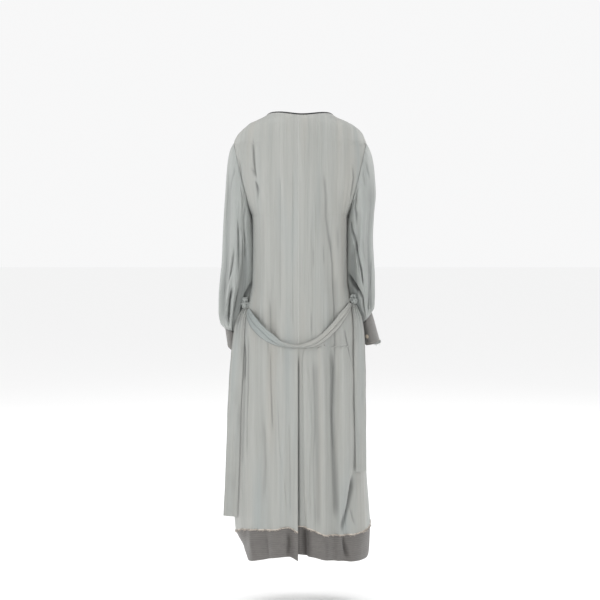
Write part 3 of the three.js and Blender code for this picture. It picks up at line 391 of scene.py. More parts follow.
# The body, in millimetres, with the back facing +Y and the wearer's left at +X
walls = {"satin": 1.5, "wool": 2.2, "belt": 1.3, "seamAllowance": 2.0}
neck = {"halfWidth": 110, "middleY": -22, "backDepth": 90, "frontDepth": 74}
tipX, tipZ, underarmX, underarmZ = 216, -90, 158, -325
armhole = {"middleY": 2, "halfDepth": 88}
centreBackX = 6
seamGap = 0.3
frontGap = table("z half", (20, 9), (-325, 12), (-1430, 26))
bodySections = table(
    "z left right back front round edgeRound",
    (16, 84, 84, 56, 48, 2.1, 2.1), (8, 101, 101, 63, 54, 2.1, 2.1), (-6, 122, 123, 72, 62, 2.1, 2.1),
    (-26, 163, 166, 84, 72, 2.1, 2.1), (-46, 189, 193, 93, 80, 2.1, 2.1), (-65, 206, 206, 101, 88, 2.1, 2),
    (-90, 216, 216, 110, 98, 2.1, 1.8), (-140, 204, 204, 123, 112, 2.2, 1.3),
    (-200, 189, 189, 134, 124, 2.3, 1.2), (-262, 174, 174, 141, 132, 2.3, 1.15),
    (-285, 168, 168, 142.7, 134.5, 2.3, 1.27), (-300, 164, 164, 143.7, 136, 2.3, 1.48),
    (-312, 161, 161, 144.4, 137, 2.3, 1.75), (-319, 159.5, 159.5, 144.8, 137.6, 2.3, 2.03),
    (-325, 158, 158, 145, 138, 2.3, 2.68), (-340, 157.5, 157.6, 145, 138.2, 2.3, 2.59),
    (-370, 156.5, 157, 145, 138.5, 2.34, 2.5), (-430, 155, 156, 145, 139, 2.4, 2.4),
    (-540, 157, 158, 143, 139, 2.4, 2.3), (-590, 167, 168, 143, 140, 2.4, 2.3),
    (-640, 180, 182, 144, 141, 2.3, 2.3), (-705, 191, 196, 147, 144, 2.3, 2.3),
    (-772, 197, 204, 151, 148, 2.3, 2.3), (-930, 203, 207, 158, 155, 2.3, 2.3),
    (-1086, 208, 213, 165, 162, 2.3, 2.3), (-1190, 211, 219, 170, 167, 2.3, 2.3),
    (-1290, 214, 226, 176, 172, 2.3, 2.3), (-1345, 210, 229, 179, 175, 2.3, 2.3),
    (-1400, 184, 227, 180, 176, 2.3, 2.3), (-1440, 174, 220, 181, 177, 2.3, 2.3),
)
hemLine = {
    "leftback": table("share seam edge", (0, -1327, -1416), (0.1, -1313, -1403), (0.25, -1321, -1408),
                      (0.45, -1325, -1421), (0.68, -1333, -1430), (0.85, -1347, -1412), (1, -1355, -1399)),
    "leftfront": table("share seam edge", (0, -1328, -1412), (0.6, -1332, -1413), (1, -1355, -1399)),
    "rightback": table("share seam edge", (0, -1305, -1393), (0.2, -1316, -1403), (0.35, -1338, -1416),
                       (0.6, -1343, -1428), (0.8, -1337, -1430), (1, -1325, -1419)),
    "rightfront": table("share seam edge", (0, -1328, -1412), (0.6, -1330, -1414), (1, -1325, -1419)),
}
# the large folds: x at the two ends of each, half width and height
bodyFolds = {
    "back": table(
        "topZ topX lowZ lowX half height",
        (-110, 153, -300, 132, 26, -7), (-190, -74, -690, -110, 24, -6), (-190, -104, -660, -138, 22, 4),
        (-180, 64, -560, 78, 22, -4), (-240, 106, -640, 112, 22, 4), (-480, 95, -1120, 88, 22, -8),
        (-640, 60, -1290, 48, 24, 6), (-900, 128, -1440, 104, 26, -9), (-860, 160, -1440, 150, 24, 8),
        (-600, -110, -1440, -114, 30, -13), (-620, -66, -1440, -72, 24, 7), (-700, -146, -1300, -152, 24, 7),
        (-1090, -176, -1440, -142, 24, -13)),
    "front": table(
        "topZ topX lowZ lowX half height",
        (-200, 96, -900, 112, 30, -7), (-520, 58, -1440, 64, 30, 8), (-700, 140, -1440, 148, 30, -11),
        (-200, -88, -980, -104, 30, -8), (-480, -52, -1440, -58, 30, 7), (-640, -142, -1440, -150, 30, -12)),
}
foldFade, calmFrom, calmTo, lowestHem = 150, 0.8, 0.95, -1416
# narrow creases of the back and front: half width, height, then their way as x, z, x, z and so on
creases = {
    "back": [
        (4.6, -2.7, 151, -66, 150, -112, 147, -160, 143, -205, 136, -252, 135, -290),
        (4, -1.2, 198, -135, 184, -215), (5, 1.2, 192, -104, 188, -160),
        (3.5, -0.7, 63, -180, 64, -420, 62, -650), (3.5, 0.6, 83, -190, 85, -420, 82, -600),
        (3.5, -0.7, 22, -170, 23, -420, 22, -700), (3.5, -0.5, -35, -330, -37, -480, -36, -560),
        (5, 1.3, -46, -280, -47, -340, -47, -390), (5, -0.7, -42, -420, -44, -500),
        (8, -1.2, -73, -170, -84, -264, -85, -334, -94, -390, -104, -450),
        (4.5, -1.5, -96, -380, -106, -480, -109, -560, -112, -640, -116, -725, -115, -800),
        (9, -1.0, -112, -500, -116, -620, -124, -715), (6, -0.7, -117, -350, -120, -450),
        (4, -1.0, -75, -410, -77, -490), (5, -1.8, -166, -150, -172, -205, -160, -290),
        (4, -1.6, -158, -306, -172, -362), (3.5, -1.0, -38, -620, -38, -715),
        (3.5, 0.8, -30, -600, -31, -700), (4, -1.2, 98, -585, 97, -650, 96, -720),
        (3.5, -1.2, 97, -735, 94, -886, 87, -1030), (4, 0.7, 88, -820, 85, -1000),
        (3.5, -0.8, 71, -900, 64, -1053, 48, -1183, 41, -1260), (3.5, 0.7, 66, -1000, 52, -1150, 44, -1270),
        (9, -0.8, 118, -960, 112, -1120, 120, -1240), (3.5, -0.6, 35, -960, 30, -1180, 32, -1290),
        # in the shadow of the vent's edge
        (3.2, -2.6, 4.4, -758, 4.4, -1345),
        (9, 2.2, -20, -770, -27, -900, -35, -1000, -28, -1110, -26, -1200, -30, -1300),
        (4, -0.7, -42, -760, -46, -900, -48, -1010, -43, -1080, -45, -1200, -50, -1330),
        (15, -1.1, -50, -770, -54, -1000, -58, -1330), (10, 1.5, -76, -760, -77, -1000, -84, -1330),
        (14, -1.9, -104, -740, -107, -850, -104, -950, -110, -1066, -116, -1218, -118, -1300),
        (3.5, -1.4, -113, -760, -108, -900, -106, -980, -111, -1090),
        (7, 1.5, -132, -640, -134, -760, -136, -1000),
        (4, -2.0, -139, -672, -147, -715, -157, -765, -163, -800),
        (12, -4.2, -172, -1140, -168, -1198, -157, -1250, -141, -1298, -131, -1345),
        (5, -1.6, -170, -1160, -166, -1210, -160, -1250), (4, 2.0, -160, -1205, -148, -1260, -141, -1310),
        (3.5, -1.8, -152, -1240, -155, -1275, -150, -1300, -154, -1325),
        (3.5, -1.4, -165, -1250, -171, -1290, -177, -1320), (4, -1.4, 165, -690, 166, -900, 165, -1110),
        (5, -3.0, 178, -715, 175, -790, 178, -870), (7, -1.2, 176, -800, 181, -1000, 188, -1150),
    ],
    "front": [
        (6, -1.3, 120, -200, 112, -420, 118, -700), (6, -1.1, -116, -190, -108, -400, -116, -690),
        (8, 1.4, 70, -260, 74, -600, 78, -1000), (6, -1.0, -72, -300, -78, -640, -84, -1040),
        (4, -0.7, 40, -200, 44, -700), (4, -0.7, -42, -220, -46, -720),
        (9, -1.5, 96, -820, 100, -1100, 96, -1320), (9, -1.5, -100, -840, -104, -1100, -98, -1320),
        (5, 2.0, 150, -760, 158, -1100, 160, -1310), (5, 2.0, -152, -740, -160, -1080, -164, -1310),
    ],
}
# small uneven waves along the cloth: cell across, cell along and height
crinkles = table("across along height", (30, 420, 1.7), (12, 320, 0.75), (6, 210, 0.3), (60, 120, 0.9))
creaseStrength, creaseEase = 1.7, 60
ventRows = table("z reach inset ridgeX", (-742, 0, 0, -32), (-752, 1, 2, -14), (-778, 26, 4, -11),
                 (-1180, 30, 6, -16), (-1290, 30, 7, -22), (-1440, 30, 11, -29))
ventTop, ventStepWidth, ventColumns, ventOf = -742, 6, 3, 16  # the first 3 of 16 shares hold the turn
neckColumnShare = {"back": 0.625, "front": 0.5}
yokeEase, shoulderSeamBehind = 0.6, 15
sideSign = {"left": 1, "right": -1}
faceSign = {"back": 1, "front": -1}


# how full the section is towards the underarm, by how deep the armhole still is there
underarmEase = table("depth round", (0, 2.68), (0.31, 2.03), (0.458, 1.75), (0.617, 1.48), (0.751, 1.27),
                     (0.886, 1.15), (1, 1.2))


def sectionCurves(side, face, z, angle):
    # points of the body's sections at the heights z, from the centre line to the side
    down = np.clip((tipZ - z) / (tipZ - underarmZ), 0, 1)
    inArmhole = (z < tipZ) & (z > underarmZ)
    half = np.sqrt(np.maximum(0, 1 - (2 * down - 1) ** 2))
    edgeX = np.where(inArmhole, mix(tipX, underarmX, down), read(bodySections, side, z))
    lean = faceSign[face] * armhole["middleY"] * np.minimum(1, half)
    edgeY = np.where(inArmhole, armhole["halfDepth"] * half + lean, 0)
    middle = centreBackX if face == "back" else 0
    across = np.sin(angle) ** (2 / read(bodySections, "round", z))
    nearUnderarm = inArmhole & (z < (tipZ + underarmZ) / 2)
    easing = np.interp(half, *underarmEase.values())
    fullness = np.where(nearUnderarm, easing, read(bodySections, "edgeRound", z))
    deep = np.maximum(0, np.cos(angle)) ** (2 / fullness)
    x = mix(middle, sideSign[side] * edgeX, across)
    y = faceSign[face] * mix(edgeY, read(bodySections, face, z), deep)
    return x, y


class Surface:
    # the smooth body of one side and face, looked up by share of the way round and height
    def __init__(self, side, face):
        inHole = tipZ - (tipZ - underarmZ) * (1 - np.cos(np.pi * np.arange(1, 121) / 120)) / 2
        levels = np.concatenate([np.linspace(16, tipZ, 60), inHole, np.linspace(-328, -1440, 280)])
        angle = np.linspace(0, math.pi / 2, 65)
        x, y = sectionCurves(side, face, levels[:, None], angle[None, :])
        walked = np.concatenate([np.zeros((len(levels), 1)),
                                 np.cumsum(np.hypot(np.diff(x, axis=1), np.diff(y, axis=1)), axis=1)], axis=1)
        self.shares = np.linspace(0, 1, 161)
        self.total = walked[:, -1]
        self.x = np.array([np.interp(self.shares * w[-1], w, row) for w, row in zip(walked, x)])
        self.y = np.array([np.interp(self.shares * w[-1], w, row) for w, row in zip(walked, y)])
        self.levels = levels

    def level(self, z):
        where = np.clip(-np.asarray(z, float), -self.levels[0], -self.levels[-1])
        low = np.clip(np.searchsorted(-self.levels, where, side="right") - 1, 0, len(self.levels) - 2)
        return low, (where + self.levels[low]) / (self.levels[low] - self.levels[low + 1])

    def length(self, z):
        low, part = self.level(z)
        return mix(self.total[low], self.total[low + 1], part)

    def point(self, share, z):
        low, part = self.level(z)
        place = np.clip(share, 0, 1) * (len(self.shares) - 1)
        left = np.minimum(place.astype(int), len(self.shares) - 2)
        over = place - left
        found = []
        for grid in (self.x, self.y):
            upper = mix(grid[low, left], grid[low, left + 1], over)
            lower = mix(grid[low + 1, left], grid[low + 1, left + 1], over)
            found.append(mix(upper, lower, part))
        return np.stack([found[0], found[1], np.broadcast_to(z, found[0].shape)], axis=-1)


surfaces = {side + face: Surface(side, face) for side in sideSign for face in faceSign}


def bodyPoint(side, face, share, z):
    share, z = np.broadcast_arrays(np.asarray(share, float), np.asarray(z, float))
    here = surfaces[side + face]
    found = here.point(share, z)
    over = (share > 1) & (z >= tipZ) if face == "front" else np.zeros(share.shape, bool)
    if over.any():
        back = surfaces[side + "back"]
        backShare = 1 - (share - 1) * here.length(z) / back.length(z)
        found = np.where(over[..., None], back.point(backShare, z), found)
    return found


def unit(vectors):
    return vectors / np.maximum(np.linalg.norm(vectors, axis=-1, keepdims=True), 1e-9)


def bodyNormal(side, face, share, z):
    share, z = np.broadcast_arrays(np.asarray(share, float), np.asarray(z, float))
    low = np.maximum(0, share - 0.01)
    high = share + 0.01
    if face == "back":
        high = np.minimum(1, high)
    else:
        high = np.where(z < tipZ, np.minimum(1, high), high)
    across = bodyPoint(side, face, high, z) - bodyPoint(side, face, low, z)
    down = bodyPoint(side, face, share, z - 1.5) - bodyPoint(side, face, share, z + 1.5)
    normal = unit(np.cross(across, down))
    outward = bodyPoint(side, face, share, z) - np.stack([0 * z, 0 * z, z - 70], axis=-1)
    flip = (normal * outward).sum(axis=-1, keepdims=True) < 0
    return np.where(flip, -normal, normal)


def shareAtX(side, z, x):
    # where the back of the body has a given x, found by halving
    low, high = np.zeros(np.shape(x)), np.ones(np.shape(x))
    for _ in range(22):
        middle = (low + high) / 2
        found = surfaces[side + "back"].point(middle, z)[..., 0]
        reached = np.abs(found - centreBackX) > np.abs(x - centreBackX)
        high = np.where(reached, middle, high)
        low = np.where(reached, low, middle)
    return (low + high) / 2


def backDepth(x, z):
    x, z = np.broadcast_arrays(np.asarray(x, float), np.asarray(z, float))
    left = surfaces["leftback"].point(shareAtX("left", z, x), z)[..., 1]
    right = surfaces["rightback"].point(shareAtX("right", z, x), z)[..., 1]
    return np.where(x > centreBackX, left, right)


def neckHeight(side, face, share):
    high, low = np.full(np.shape(share), 15.0), np.full(np.shape(share), -170.0)
    for _ in range(34):
        middle = (high + low) / 2
        point = bodyPoint(side, face, share, middle)
        offY = point[..., 1] - neck["middleY"]
        depth = np.where(offY > 0, neck["backDepth"], neck["frontDepth"])
        outside = (point[..., 0] / neck["halfWidth"]) ** 2 + (offY / depth) ** 2 > 1
        low = np.where(outside, middle, low)
        high = np.where(outside, high, middle)
    return (high + low) / 2


def seamShare(side, face, z):
    run = np.clip((z - tipZ) / (0 - tipZ), 0, 1)
    behind = shoulderSeamBehind * run ** 0.75 / surfaces[side + face].length(z)
    return 1 - behind if face == "back" else 1 + behind


def firstShare(side, face, z):
    half = read(frontGap, "half", z) if face == "front" else seamGap / 2
    return half / surfaces[side + face].length(z)


def lastShare(side, face, z):
    return np.where(z <= underarmZ, 1 - seamGap / 2 / surfaces[side + face].length(z), 1)


def topEdge(side, face, across):
    share = np.array(1.0)
    for _ in range(34):
        share = mix(share, seamShare(side, face, neckHeight(side, face, share)), 0.5)
    atNeck, turn = neckHeight(side, face, share), neckColumnShare[face]
    nearCentre = np.array(0.0 if face == "back" else 0.07)
    start = firstShare(side, face, neckHeight(side, face, nearCentre))
    alongNeck = mix(start, share, np.minimum(across / turn, 1))
    seamZ = mix(atNeck, tipZ, np.clip((across - turn) / (1 - turn), 0, 1))
    onNeck = across <= turn
    z = np.where(onNeck, neckHeight(side, face, alongNeck), seamZ)
    return np.where(onNeck, alongNeck, seamShare(side, face, seamZ)), z


def foldLift(face, share, point):
    x, z = point[..., 0], point[..., 2]
    calm = 1 - smooth((share - calmFrom) / (calmTo - calmFrom))
    lift = np.zeros(x.shape)
    folds = bodyFolds[face]
    for topZ, topX, lowZ, lowX, half, height in zip(*folds.values()):
        along = (topZ - z) / (topZ - lowZ)
        start = smooth((topZ - z) / foldFade)
        strength = start if lowZ < lowestHem else start * smooth((z - lowZ) / foldFade)
        lift += height * strength * hump((x - mix(topX, lowX, np.clip(along, 0, 1))) / half)
    return lift * np.where(share > 1, 0, calm)


def creaseLift(lines, a, b):
    # troughs and ridges along polylines, fading at both ends
    lift = np.zeros(a.shape)
    for half, height, *way in lines:
        points = np.reshape(np.array(way, float), (-1, 2))
        steps = np.linalg.norm(np.diff(points, axis=0), axis=1)
        total, walked = steps.sum(), 0.0
        near = np.full(a.shape, 1e9)
        at = np.zeros(a.shape)
        for start, end, step in zip(points[:-1], points[1:], steps):
            d = (end - start) / step
            run = np.clip((a - start[0]) * d[0] + (b - start[1]) * d[1], 0, step)
            away = np.hypot(a - start[0] - d[0] * run, b - start[1] - d[1] * run)
            closer = away < near
            near = np.where(closer, away, near)
            at = np.where(closer, walked + run, at)
            walked += step
        ease = min(total * 0.35, creaseEase)
        fade = smooth(at / ease) * smooth((total - at) / ease)
        lift += height * fade * hump(near / half)
    return lift * creaseStrength


def crinkleLift(u, v, seed, rows=crinkles):
    lift = 0
    for number, (across, along, height) in enumerate(zip(*rows.values())):
        lift = lift + height * softNoise(u, v, across, along, seed + number)
    return lift


# Meshes
def ridden(name, mesh):
    piece = addObject(name, mesh)
    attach(piece, "root")
    return piece


def sideFaces(index, flipped=False):
    # the four-sided faces between the rows of a grid of point numbers
    corners = [index[:-1, :-1], index[1:, :-1], index[1:, 1:], index[:-1, 1:]]
    if flipped:
        corners[1], corners[3] = corners[3], corners[1]
    return np.stack(corners, axis=-1).reshape(-1, 4)


def ringNumbers(count, around):
    # the point numbers of rings, with each ring's first point again at its end
    index = np.arange(count * around).reshape(count, around)
    return np.concatenate([index, index[:, :1]], axis=1)


def fan(ring, backward=False):
    # faces that close the end of a tube
    faces = np.array([[ring[0], ring[k], ring[k + 1], ring[k + 2]] for k in range(1, len(ring) - 2, 2)])
    return faces[:, ::-1] if backward else faces


def facedOut(points, faces):
    a, b, c = (points[faces[:, k]] for k in range(3))
    return faces if (a * np.cross(b, c)).sum() > 0 else faces[:, ::-1]


def addPiece(name, points, faces, finish, uv=None, marks=None):
    mesh = bpy.data.meshes.new(name)
    mesh.vertices.add(len(points))
    mesh.vertices.foreach_set("co", (np.asarray(points) * 0.001).ravel())
    faces = np.asarray(faces)
    mesh.loops.add(faces.size)
    mesh.loops.foreach_set("vertex_index", faces.ravel())
    mesh.polygons.add(len(faces))
    mesh.polygons.foreach_set("loop_start", np.arange(0, faces.size, faces.shape[1]))
    mesh.update(calc_edges=True)
    mesh.validate()
    if uv is not None:
        layer = mesh.uv_layers.new(name="cloth")
        layer.data.foreach_set("uv", (np.asarray(uv)[faces.ravel()] * 0.001).ravel())
    for mark, values in (marks or {}).items():
        mesh.attributes.new(mark, "FLOAT", "POINT").data.foreach_set("value", values)
    mesh.shade_smooth()
    mesh.set_sharp_from_angle(angle=math.radians(62))
    mesh.materials.append(finishes[finish])
    return ridden(name, mesh)


def wallPiece(name, outer, inner, finish, slot, u, v, ringed=False, **marks):
    # a closed wall between two grids, turned to face outwards
    rows, columns = outer.shape[:2]
    points = np.concatenate([outer.reshape(-1, 3), inner.reshape(-1, 3)])
    index = np.arange(rows * columns).reshape(rows, columns)
    if ringed:
        index = np.concatenate([index, index[:, :1]], axis=1)
    second = index + rows * columns

    def quads(a, b, c, d):
        return np.stack([a.ravel(), b.ravel(), c.ravel(), d.ravel()], axis=1)

    faces = [quads(index[:-1, :-1], index[1:, :-1], index[1:, 1:], index[:-1, 1:]),
             quads(second[:-1, :-1], second[:-1, 1:], second[1:, 1:], second[1:, :-1]),
             quads(index[0, :-1], index[0, 1:], second[0, 1:], second[0, :-1]),
             quads(index[-1, :-1], second[-1, :-1], second[-1, 1:], index[-1, 1:])]
    if not ringed:
        faces += [quads(index[:-1, 0], second[:-1, 0], second[1:, 0], index[1:, 0]),
                  quads(index[:-1, -1], index[1:, -1], second[1:, -1], second[:-1, -1])]
    faces = np.concatenate(faces)
    a, b, c, d = (points[faces[:, k]] for k in range(4))
    if (a * np.cross(b, c)).sum() + (a * np.cross(c, d)).sum() < 0:
        faces = faces[:, ::-1]
    uv = np.stack([np.broadcast_to(part, (rows, columns)).ravel() for part in (u, v)], axis=1)
    spread = {mark: np.broadcast_to(values, (rows, columns)).ravel() for mark, values in marks.items()}
    doubled = {mark: np.concatenate([values, values]) for mark, values in spread.items()}
    return addPiece(name, points, faces, finish, np.concatenate([uv, uv]), doubled)


def gridNormals(grid):
    along = np.gradient(grid, axis=0)
    across = np.gradient(grid, axis=1)
    return unit(np.cross(across, along))


def backNormals(grid):
    normal = gridNormals(grid)
    return np.where(normal[..., 1:2] < 0, -normal, normal)


# Body panels
panel = {
    "back": {"columns": 150, "yokeRows": 70, "rows": 176},
    "front": {"columns": 72, "yokeRows": 60, "rows": 150},
    "width": 330, "groove": 0.9, "grooveHalf": 3.2, "allowance": 6,
    "hemReach": 12, "topReach": 14, "rawReach": 4.5,
    "cuts": {"leftback": (0.36, 1.37, 0.36), "rightback": (0.39, 1.37, 0.4),
             "leftfront": (0.31, 1.34, 0.34), "rightfront": (0.31, 1.34, 0.34)},
}
# painted shade for creases and for what is tucked under the vent: how deep a trough shows darkest, how dark
# that is, and the same for what is tucked under
creaseShade = {"depth": 7, "most": 0.6, "tucked": 9, "tuckedMost": 0.2, "limit": 0.8}


def lowerPlace(side, face, across, z):
    # share and side of each place below the underarm, with the right back panel's turn at the vent
    share = mix(firstShare(side, face, z), lastShare(side, face, z), across)
    inset = np.zeros(share.shape)
    under = np.zeros(share.shape, bool)
    if side == "right" and face == "back":
        reach, depth, ridge = (read(ventRows, name, z) for name in ("reach", "inset", "ridgeX"))
        column = across * ventOf
        nearRidge = ridge + ventStepWidth * np.clip(depth / ventStepWidth, 0, 1)
        farX = centreBackX + reach
        places = [farX, mix(farX, nearRidge, 0.5), nearRidge, ridge]
        depths = [depth, depth, depth * 0.85, 0 * depth]
        x, sunk = 0 * share, 0 * share
        for number in range(ventColumns):
            within = np.clip(column - number, 0, 1)
            inside = (column >= number) & (column <= number + 1)
            x = np.where(inside, mix(places[number], places[number + 1], within), x)
            sunk = np.where(inside, mix(depths[number], depths[number + 1], smooth(within)), sunk)
        vented = z < ventTop
        inVent = vented & (column <= ventColumns)
        under = inVent & (x > centreBackX)
        ventShare = np.where(under, shareAtX("left", z, x), shareAtX("right", z, x))
        ridgeShare = shareAtX("right", z, ridge)
        beyond = np.clip((column - ventColumns) / (ventOf - ventColumns), 0, 1)
        pastShare = mix(ridgeShare, lastShare(side, face, z), beyond)
        share = np.where(inVent, ventShare, np.where(vented, pastShare, share))
        inset = np.where(inVent, sunk, 0)
    return share, inset, under


def clothGrid(side, face, share, z, inset, under):
    point = bodyPoint(side, face, share, z)
    normal = bodyNormal(side, face, share, z)
    if under.any():
        point = np.where(under[..., None], bodyPoint("left", face, share, z), point)
        normal = np.where(under[..., None], bodyNormal("left", face, share, z), normal)
    around = share * surfaces[side + face].length(z) * np.where(under, 1, sideSign[side]) * faceSign[face]
    fold = foldLift(face, share, point)
    crease = creaseLift(creases[face], point[..., 0], point[..., 2])
    # painted shade: the troughs of the creases and the tucked-under flap of the vent are darkened
    shade = np.clip(-crease / creaseShade["depth"], 0, creaseShade["most"])
    shade = shade + np.clip(inset / creaseShade["tucked"], 0, 1) * creaseShade["tuckedMost"]
    return point, normal, fold + crease - inset, around, np.clip(shade, 0, creaseShade["limit"])


def edgeEase(across, z, side, face, reach=9):
    # 0 on a sewn edge and 1 away from it, so that panels meet
    total = surfaces[side + face].length(z)
    fromFirst, fromLast = across * total, (1 - across) * total
    return smooth(np.minimum(fromFirst, fromLast) / reach)


def panelPlaces(side, face):
    size = panel[face]
    columns = int(size["columns"] * fine)
    across = shares(columns)
    topShare, topZ = topEdge(side, face, across)
    even = (np.arange(int(size["yokeRows"] * fine)) / int(size["yokeRows"] * fine))[:, None]
    drop = mix(even, (1 - np.cos(np.pi * even)) / 2, yokeEase)
    z = mix(topZ, underarmZ, drop)
    bottom = mix(firstShare(side, face, z), 1, across)
    seamHalf = seamGap / 2 / surfaces[side + face].length(z)
    seam = np.where(z > tipZ, seamShare(side, face, z) - seamHalf, 1)
    share = mix(np.where(across >= neckColumnShare[face], seam, topShare), bottom, drop)
    share[1:, 0] = firstShare(side, face, z[1:, 0])
    share[0, -1] = 1 - seamHalf[0, -1]
    rows = int(size["rows"] * fine)
    run = shares(rows)[:, None]
    lowerZ = mix(underarmZ, read(hemLine[side + face], "seam", across, "share"), run)
    lowerShare, inset, under = lowerPlace(side, face, np.broadcast_to(across, lowerZ.shape), lowerZ)
    none = np.zeros(z.shape)
    return (np.concatenate([share, lowerShare]), np.concatenate([z, lowerZ]),
            np.concatenate([none, inset]), np.concatenate([none > 0, under]), across)


# rounds of averaging that let the cloth run smoothly past the shoulder tip
shoulderEase = {"half": 55, "rounds": 70, "strength": 0.5, "from": 0.985, "over": 0.06}


def eased(depth, z, across):
    away = smooth((shoulderEase["from"] - across) / shoulderEase["over"])
    weight = hump((z - tipZ) / shoulderEase["half"]) * away * shoulderEase["strength"]
    for _ in range(shoulderEase["rounds"]):
        depth[1:-1] += weight[1:-1] * ((depth[:-2] + depth[2:]) / 2 - depth[1:-1])
    return depth


def makePanel(side, face, seed):
    share, z, inset, under, across = panelPlaces(side, face)
    point, normal, lift, around, shade = clothGrid(side, face, share, z, inset, under)
    ease = edgeEase(np.broadcast_to(across, z.shape), z, side, face)
    seamZ = read(hemLine[side + face], "seam", across, "share")
    offHem = smooth((z - seamZ) / panel["hemReach"])
    offTop = smooth((z[0] - z) / panel["topReach"])
    crinkle = crinkleLift(around, z, seed) * ease * offHem * offTop
    fromEdge = np.minimum(across, 1 - across) * panel["width"]
    groove = -panel["groove"] * (1 - smooth(fromEdge / panel["grooveHalf"])) * offTop
    point[..., 1] = eased(point[..., 1], z, across)
    outer = point + normal * (lift + crinkle + groove)[..., None]
    allowance = 1 - smooth(fromEdge / panel["allowance"])
    wall = walls["satin"] + walls["seamAllowance"] * allowance * ease
    inner = outer - normal * (wall + 0 * z)[..., None]
    raw = 1 - smooth((z - seamZ) / panel["rawReach"])
    piece = wallPiece(f"{face}Panel{side.title()}", outer, inner, "satin", "satin", around, z,
                      rawEdge=raw, shade=shade)
    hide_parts(f"{face}_{side}")
    return piece, outer


# Hem bands
hemBand = {
    "cuts": {"leftback": (0.36, 0.1, 0.028), "rightback": (0.39, 0.1, 0.033),
             "leftfront": (0.31, 0.1, 0.023), "rightfront": (0.31, 0.1, 0.027)},
    "rows": 26, "turned": 0.5, "turnedReach": 7, "calm": 20, "below": 0.3,
    # painted shade: how deep a hem crease shows darkest, how dark that is, and the darkest the hem gets
    "depth": 9, "most": 0.6, "limit": 0.85,
    "waves": table("across along height", (30, 200, 1.4), (14, 60, 0.5)),
    "creases": {
        "back": [(9, -1.8, 38, -1318, 35, -1360, 40, -1412),
                 (24, -3.4, -16, -1280, -20, -1350, -24, -1430),
                 (10, -3.0, -136, -1322, -146, -1370, -160, -1430),
                 (20, -1.8, 32, -1300, 28, -1430),
                 (9, 1.2, -118, -1340, -124, -1430), (9, 1.0, 52, -1320, 50, -1410),
                 (8, -0.8, 110, -1330, 104, -1420), (8, -0.8, -84, -1340, -86, -1425),
                 (7, -0.7, 150, -1340, 140, -1420)],
        "front": [(6, -2.6, 90, -1335, 94, -1400), (6, -2.6, -96, -1335, -92, -1400),
                  (6, 1.6, 140, -1345, 138, -1395), (6, 1.6, -150, -1335, -152, -1405)],
    },
}


def makeHem(side, face, seed):
    columns = int(panel[face]["columns"] * fine)
    across = shares(columns)
    line = hemLine[side + face]
    top, low = (read(line, name, across, "share") for name in ("seam", "edge"))
    rows = int(hemBand["rows"] * fine)
    run = shares(rows)[:, None]
    z = mix(top - seamGap, low, run)
    share, inset, under = lowerPlace(side, face, np.broadcast_to(across, z.shape), z)
    point, normal, lift, around, shade = clothGrid(side, face, share, z, inset, under)
    ease = edgeEase(np.broadcast_to(across, z.shape), z, side, face)
    bent = creaseLift(hemBand["creases"][face], point[..., 0], z)
    lift = lift + bent
    # painted shade in the hem band's creases, added to the panel's own painted shade
    shade = np.clip(shade + np.clip(-bent / hemBand["depth"], 0, hemBand["most"]), 0, hemBand["limit"])
    waves = crinkleLift(around, z, seed + 40, hemBand["waves"]) * ease * smooth((top - z) / hemBand["calm"])
    turned = hemBand["turned"] * hump((z - low) / hemBand["turnedReach"])
    outer = point + normal * (lift + waves + turned - hemBand["below"])[..., None]
    inner = outer - normal * walls["wool"]
    name = f"hem{face.title()}{side.title()}"
    piece = wallPiece(name, outer, inner, "wool", "wool", around, z, shade=shade)
    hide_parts(f"hem_{face}_{side}")
    return piece


seamLines = {}
for seed, (side, face) in enumerate([(s, f) for s in sideSign for f in faceSign]):
    made, grid = makePanel(side, face, 11 + seed * 20)
    seamLines[side + face] = grid[-1]
    hem = makeHem(side, face, 211 + seed * 20)
stage("panels and hem bands")

# Neck binding
binding = {"rise": 4.6, "out": 1.3, "in": 3.2, "around": 12, "cut": (0.01, 0.64, 0.0064)}


def bindingStations(side, face, count):
    across = np.linspace(0, neckColumnShare[face], count)
    share, z = topEdge(side, face, across)
    return bodyPoint(side, face, share, z), bodyNormal(side, face, share, z)


def makeBinding():
    halves = {}
    for side in sideSign:
        backPoints, backNormals = bindingStations(side, "back", int(60 * fine))
        frontPoints, frontNormals = bindingStations(side, "front", int(50 * fine))
        halves[side] = (np.concatenate([backPoints, frontPoints[::-1][1:]]),
                        np.concatenate([backNormals, frontNormals[::-1][1:]]))
    path = np.concatenate([halves["left"][0][:0:-1], halves["right"][0]])
    normal = np.concatenate([halves["left"][1][:0:-1], halves["right"][1]])
    along = unit(np.gradient(path, axis=0))
    rise = unit(np.cross(along, normal))
    inward = np.stack([-path[:, 0], neck["middleY"] - path[:, 1], 0 * path[:, 0]], axis=1)
    rise = np.where((rise * inward).sum(axis=1, keepdims=True) < 0, -rise, rise)
    turn = roundTurn(binding["around"])
    up = (np.clip(np.sin(turn) * 1.5, -1, 1) + 1) / 2
    out = np.clip(np.cos(turn) * 1.5, -1, 1)
    offOut = np.where(out > 0, out * binding["out"], out * binding["in"])
    rings = (path[:, None] + rise[:, None] * mix(0.4, binding["rise"], up)[None, :, None]
             + normal[:, None] * offOut[None, :, None])
    count, around = rings.shape[:2]
    index = ringNumbers(count, around)
    faces = np.concatenate([sideFaces(index), fan(index[0, :-1]), fan(index[-1, :-1], True)])
    points = rings.reshape(-1, 3)
    uv = np.stack([np.repeat(walkedAlong(path), around), np.tile(up * binding["rise"], count)], axis=1)
    piece = addPiece("neckBinding", points, facedOut(points, faces), "darkTape", uv)
    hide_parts("neck_binding")


makeBinding()
stage("neck binding")

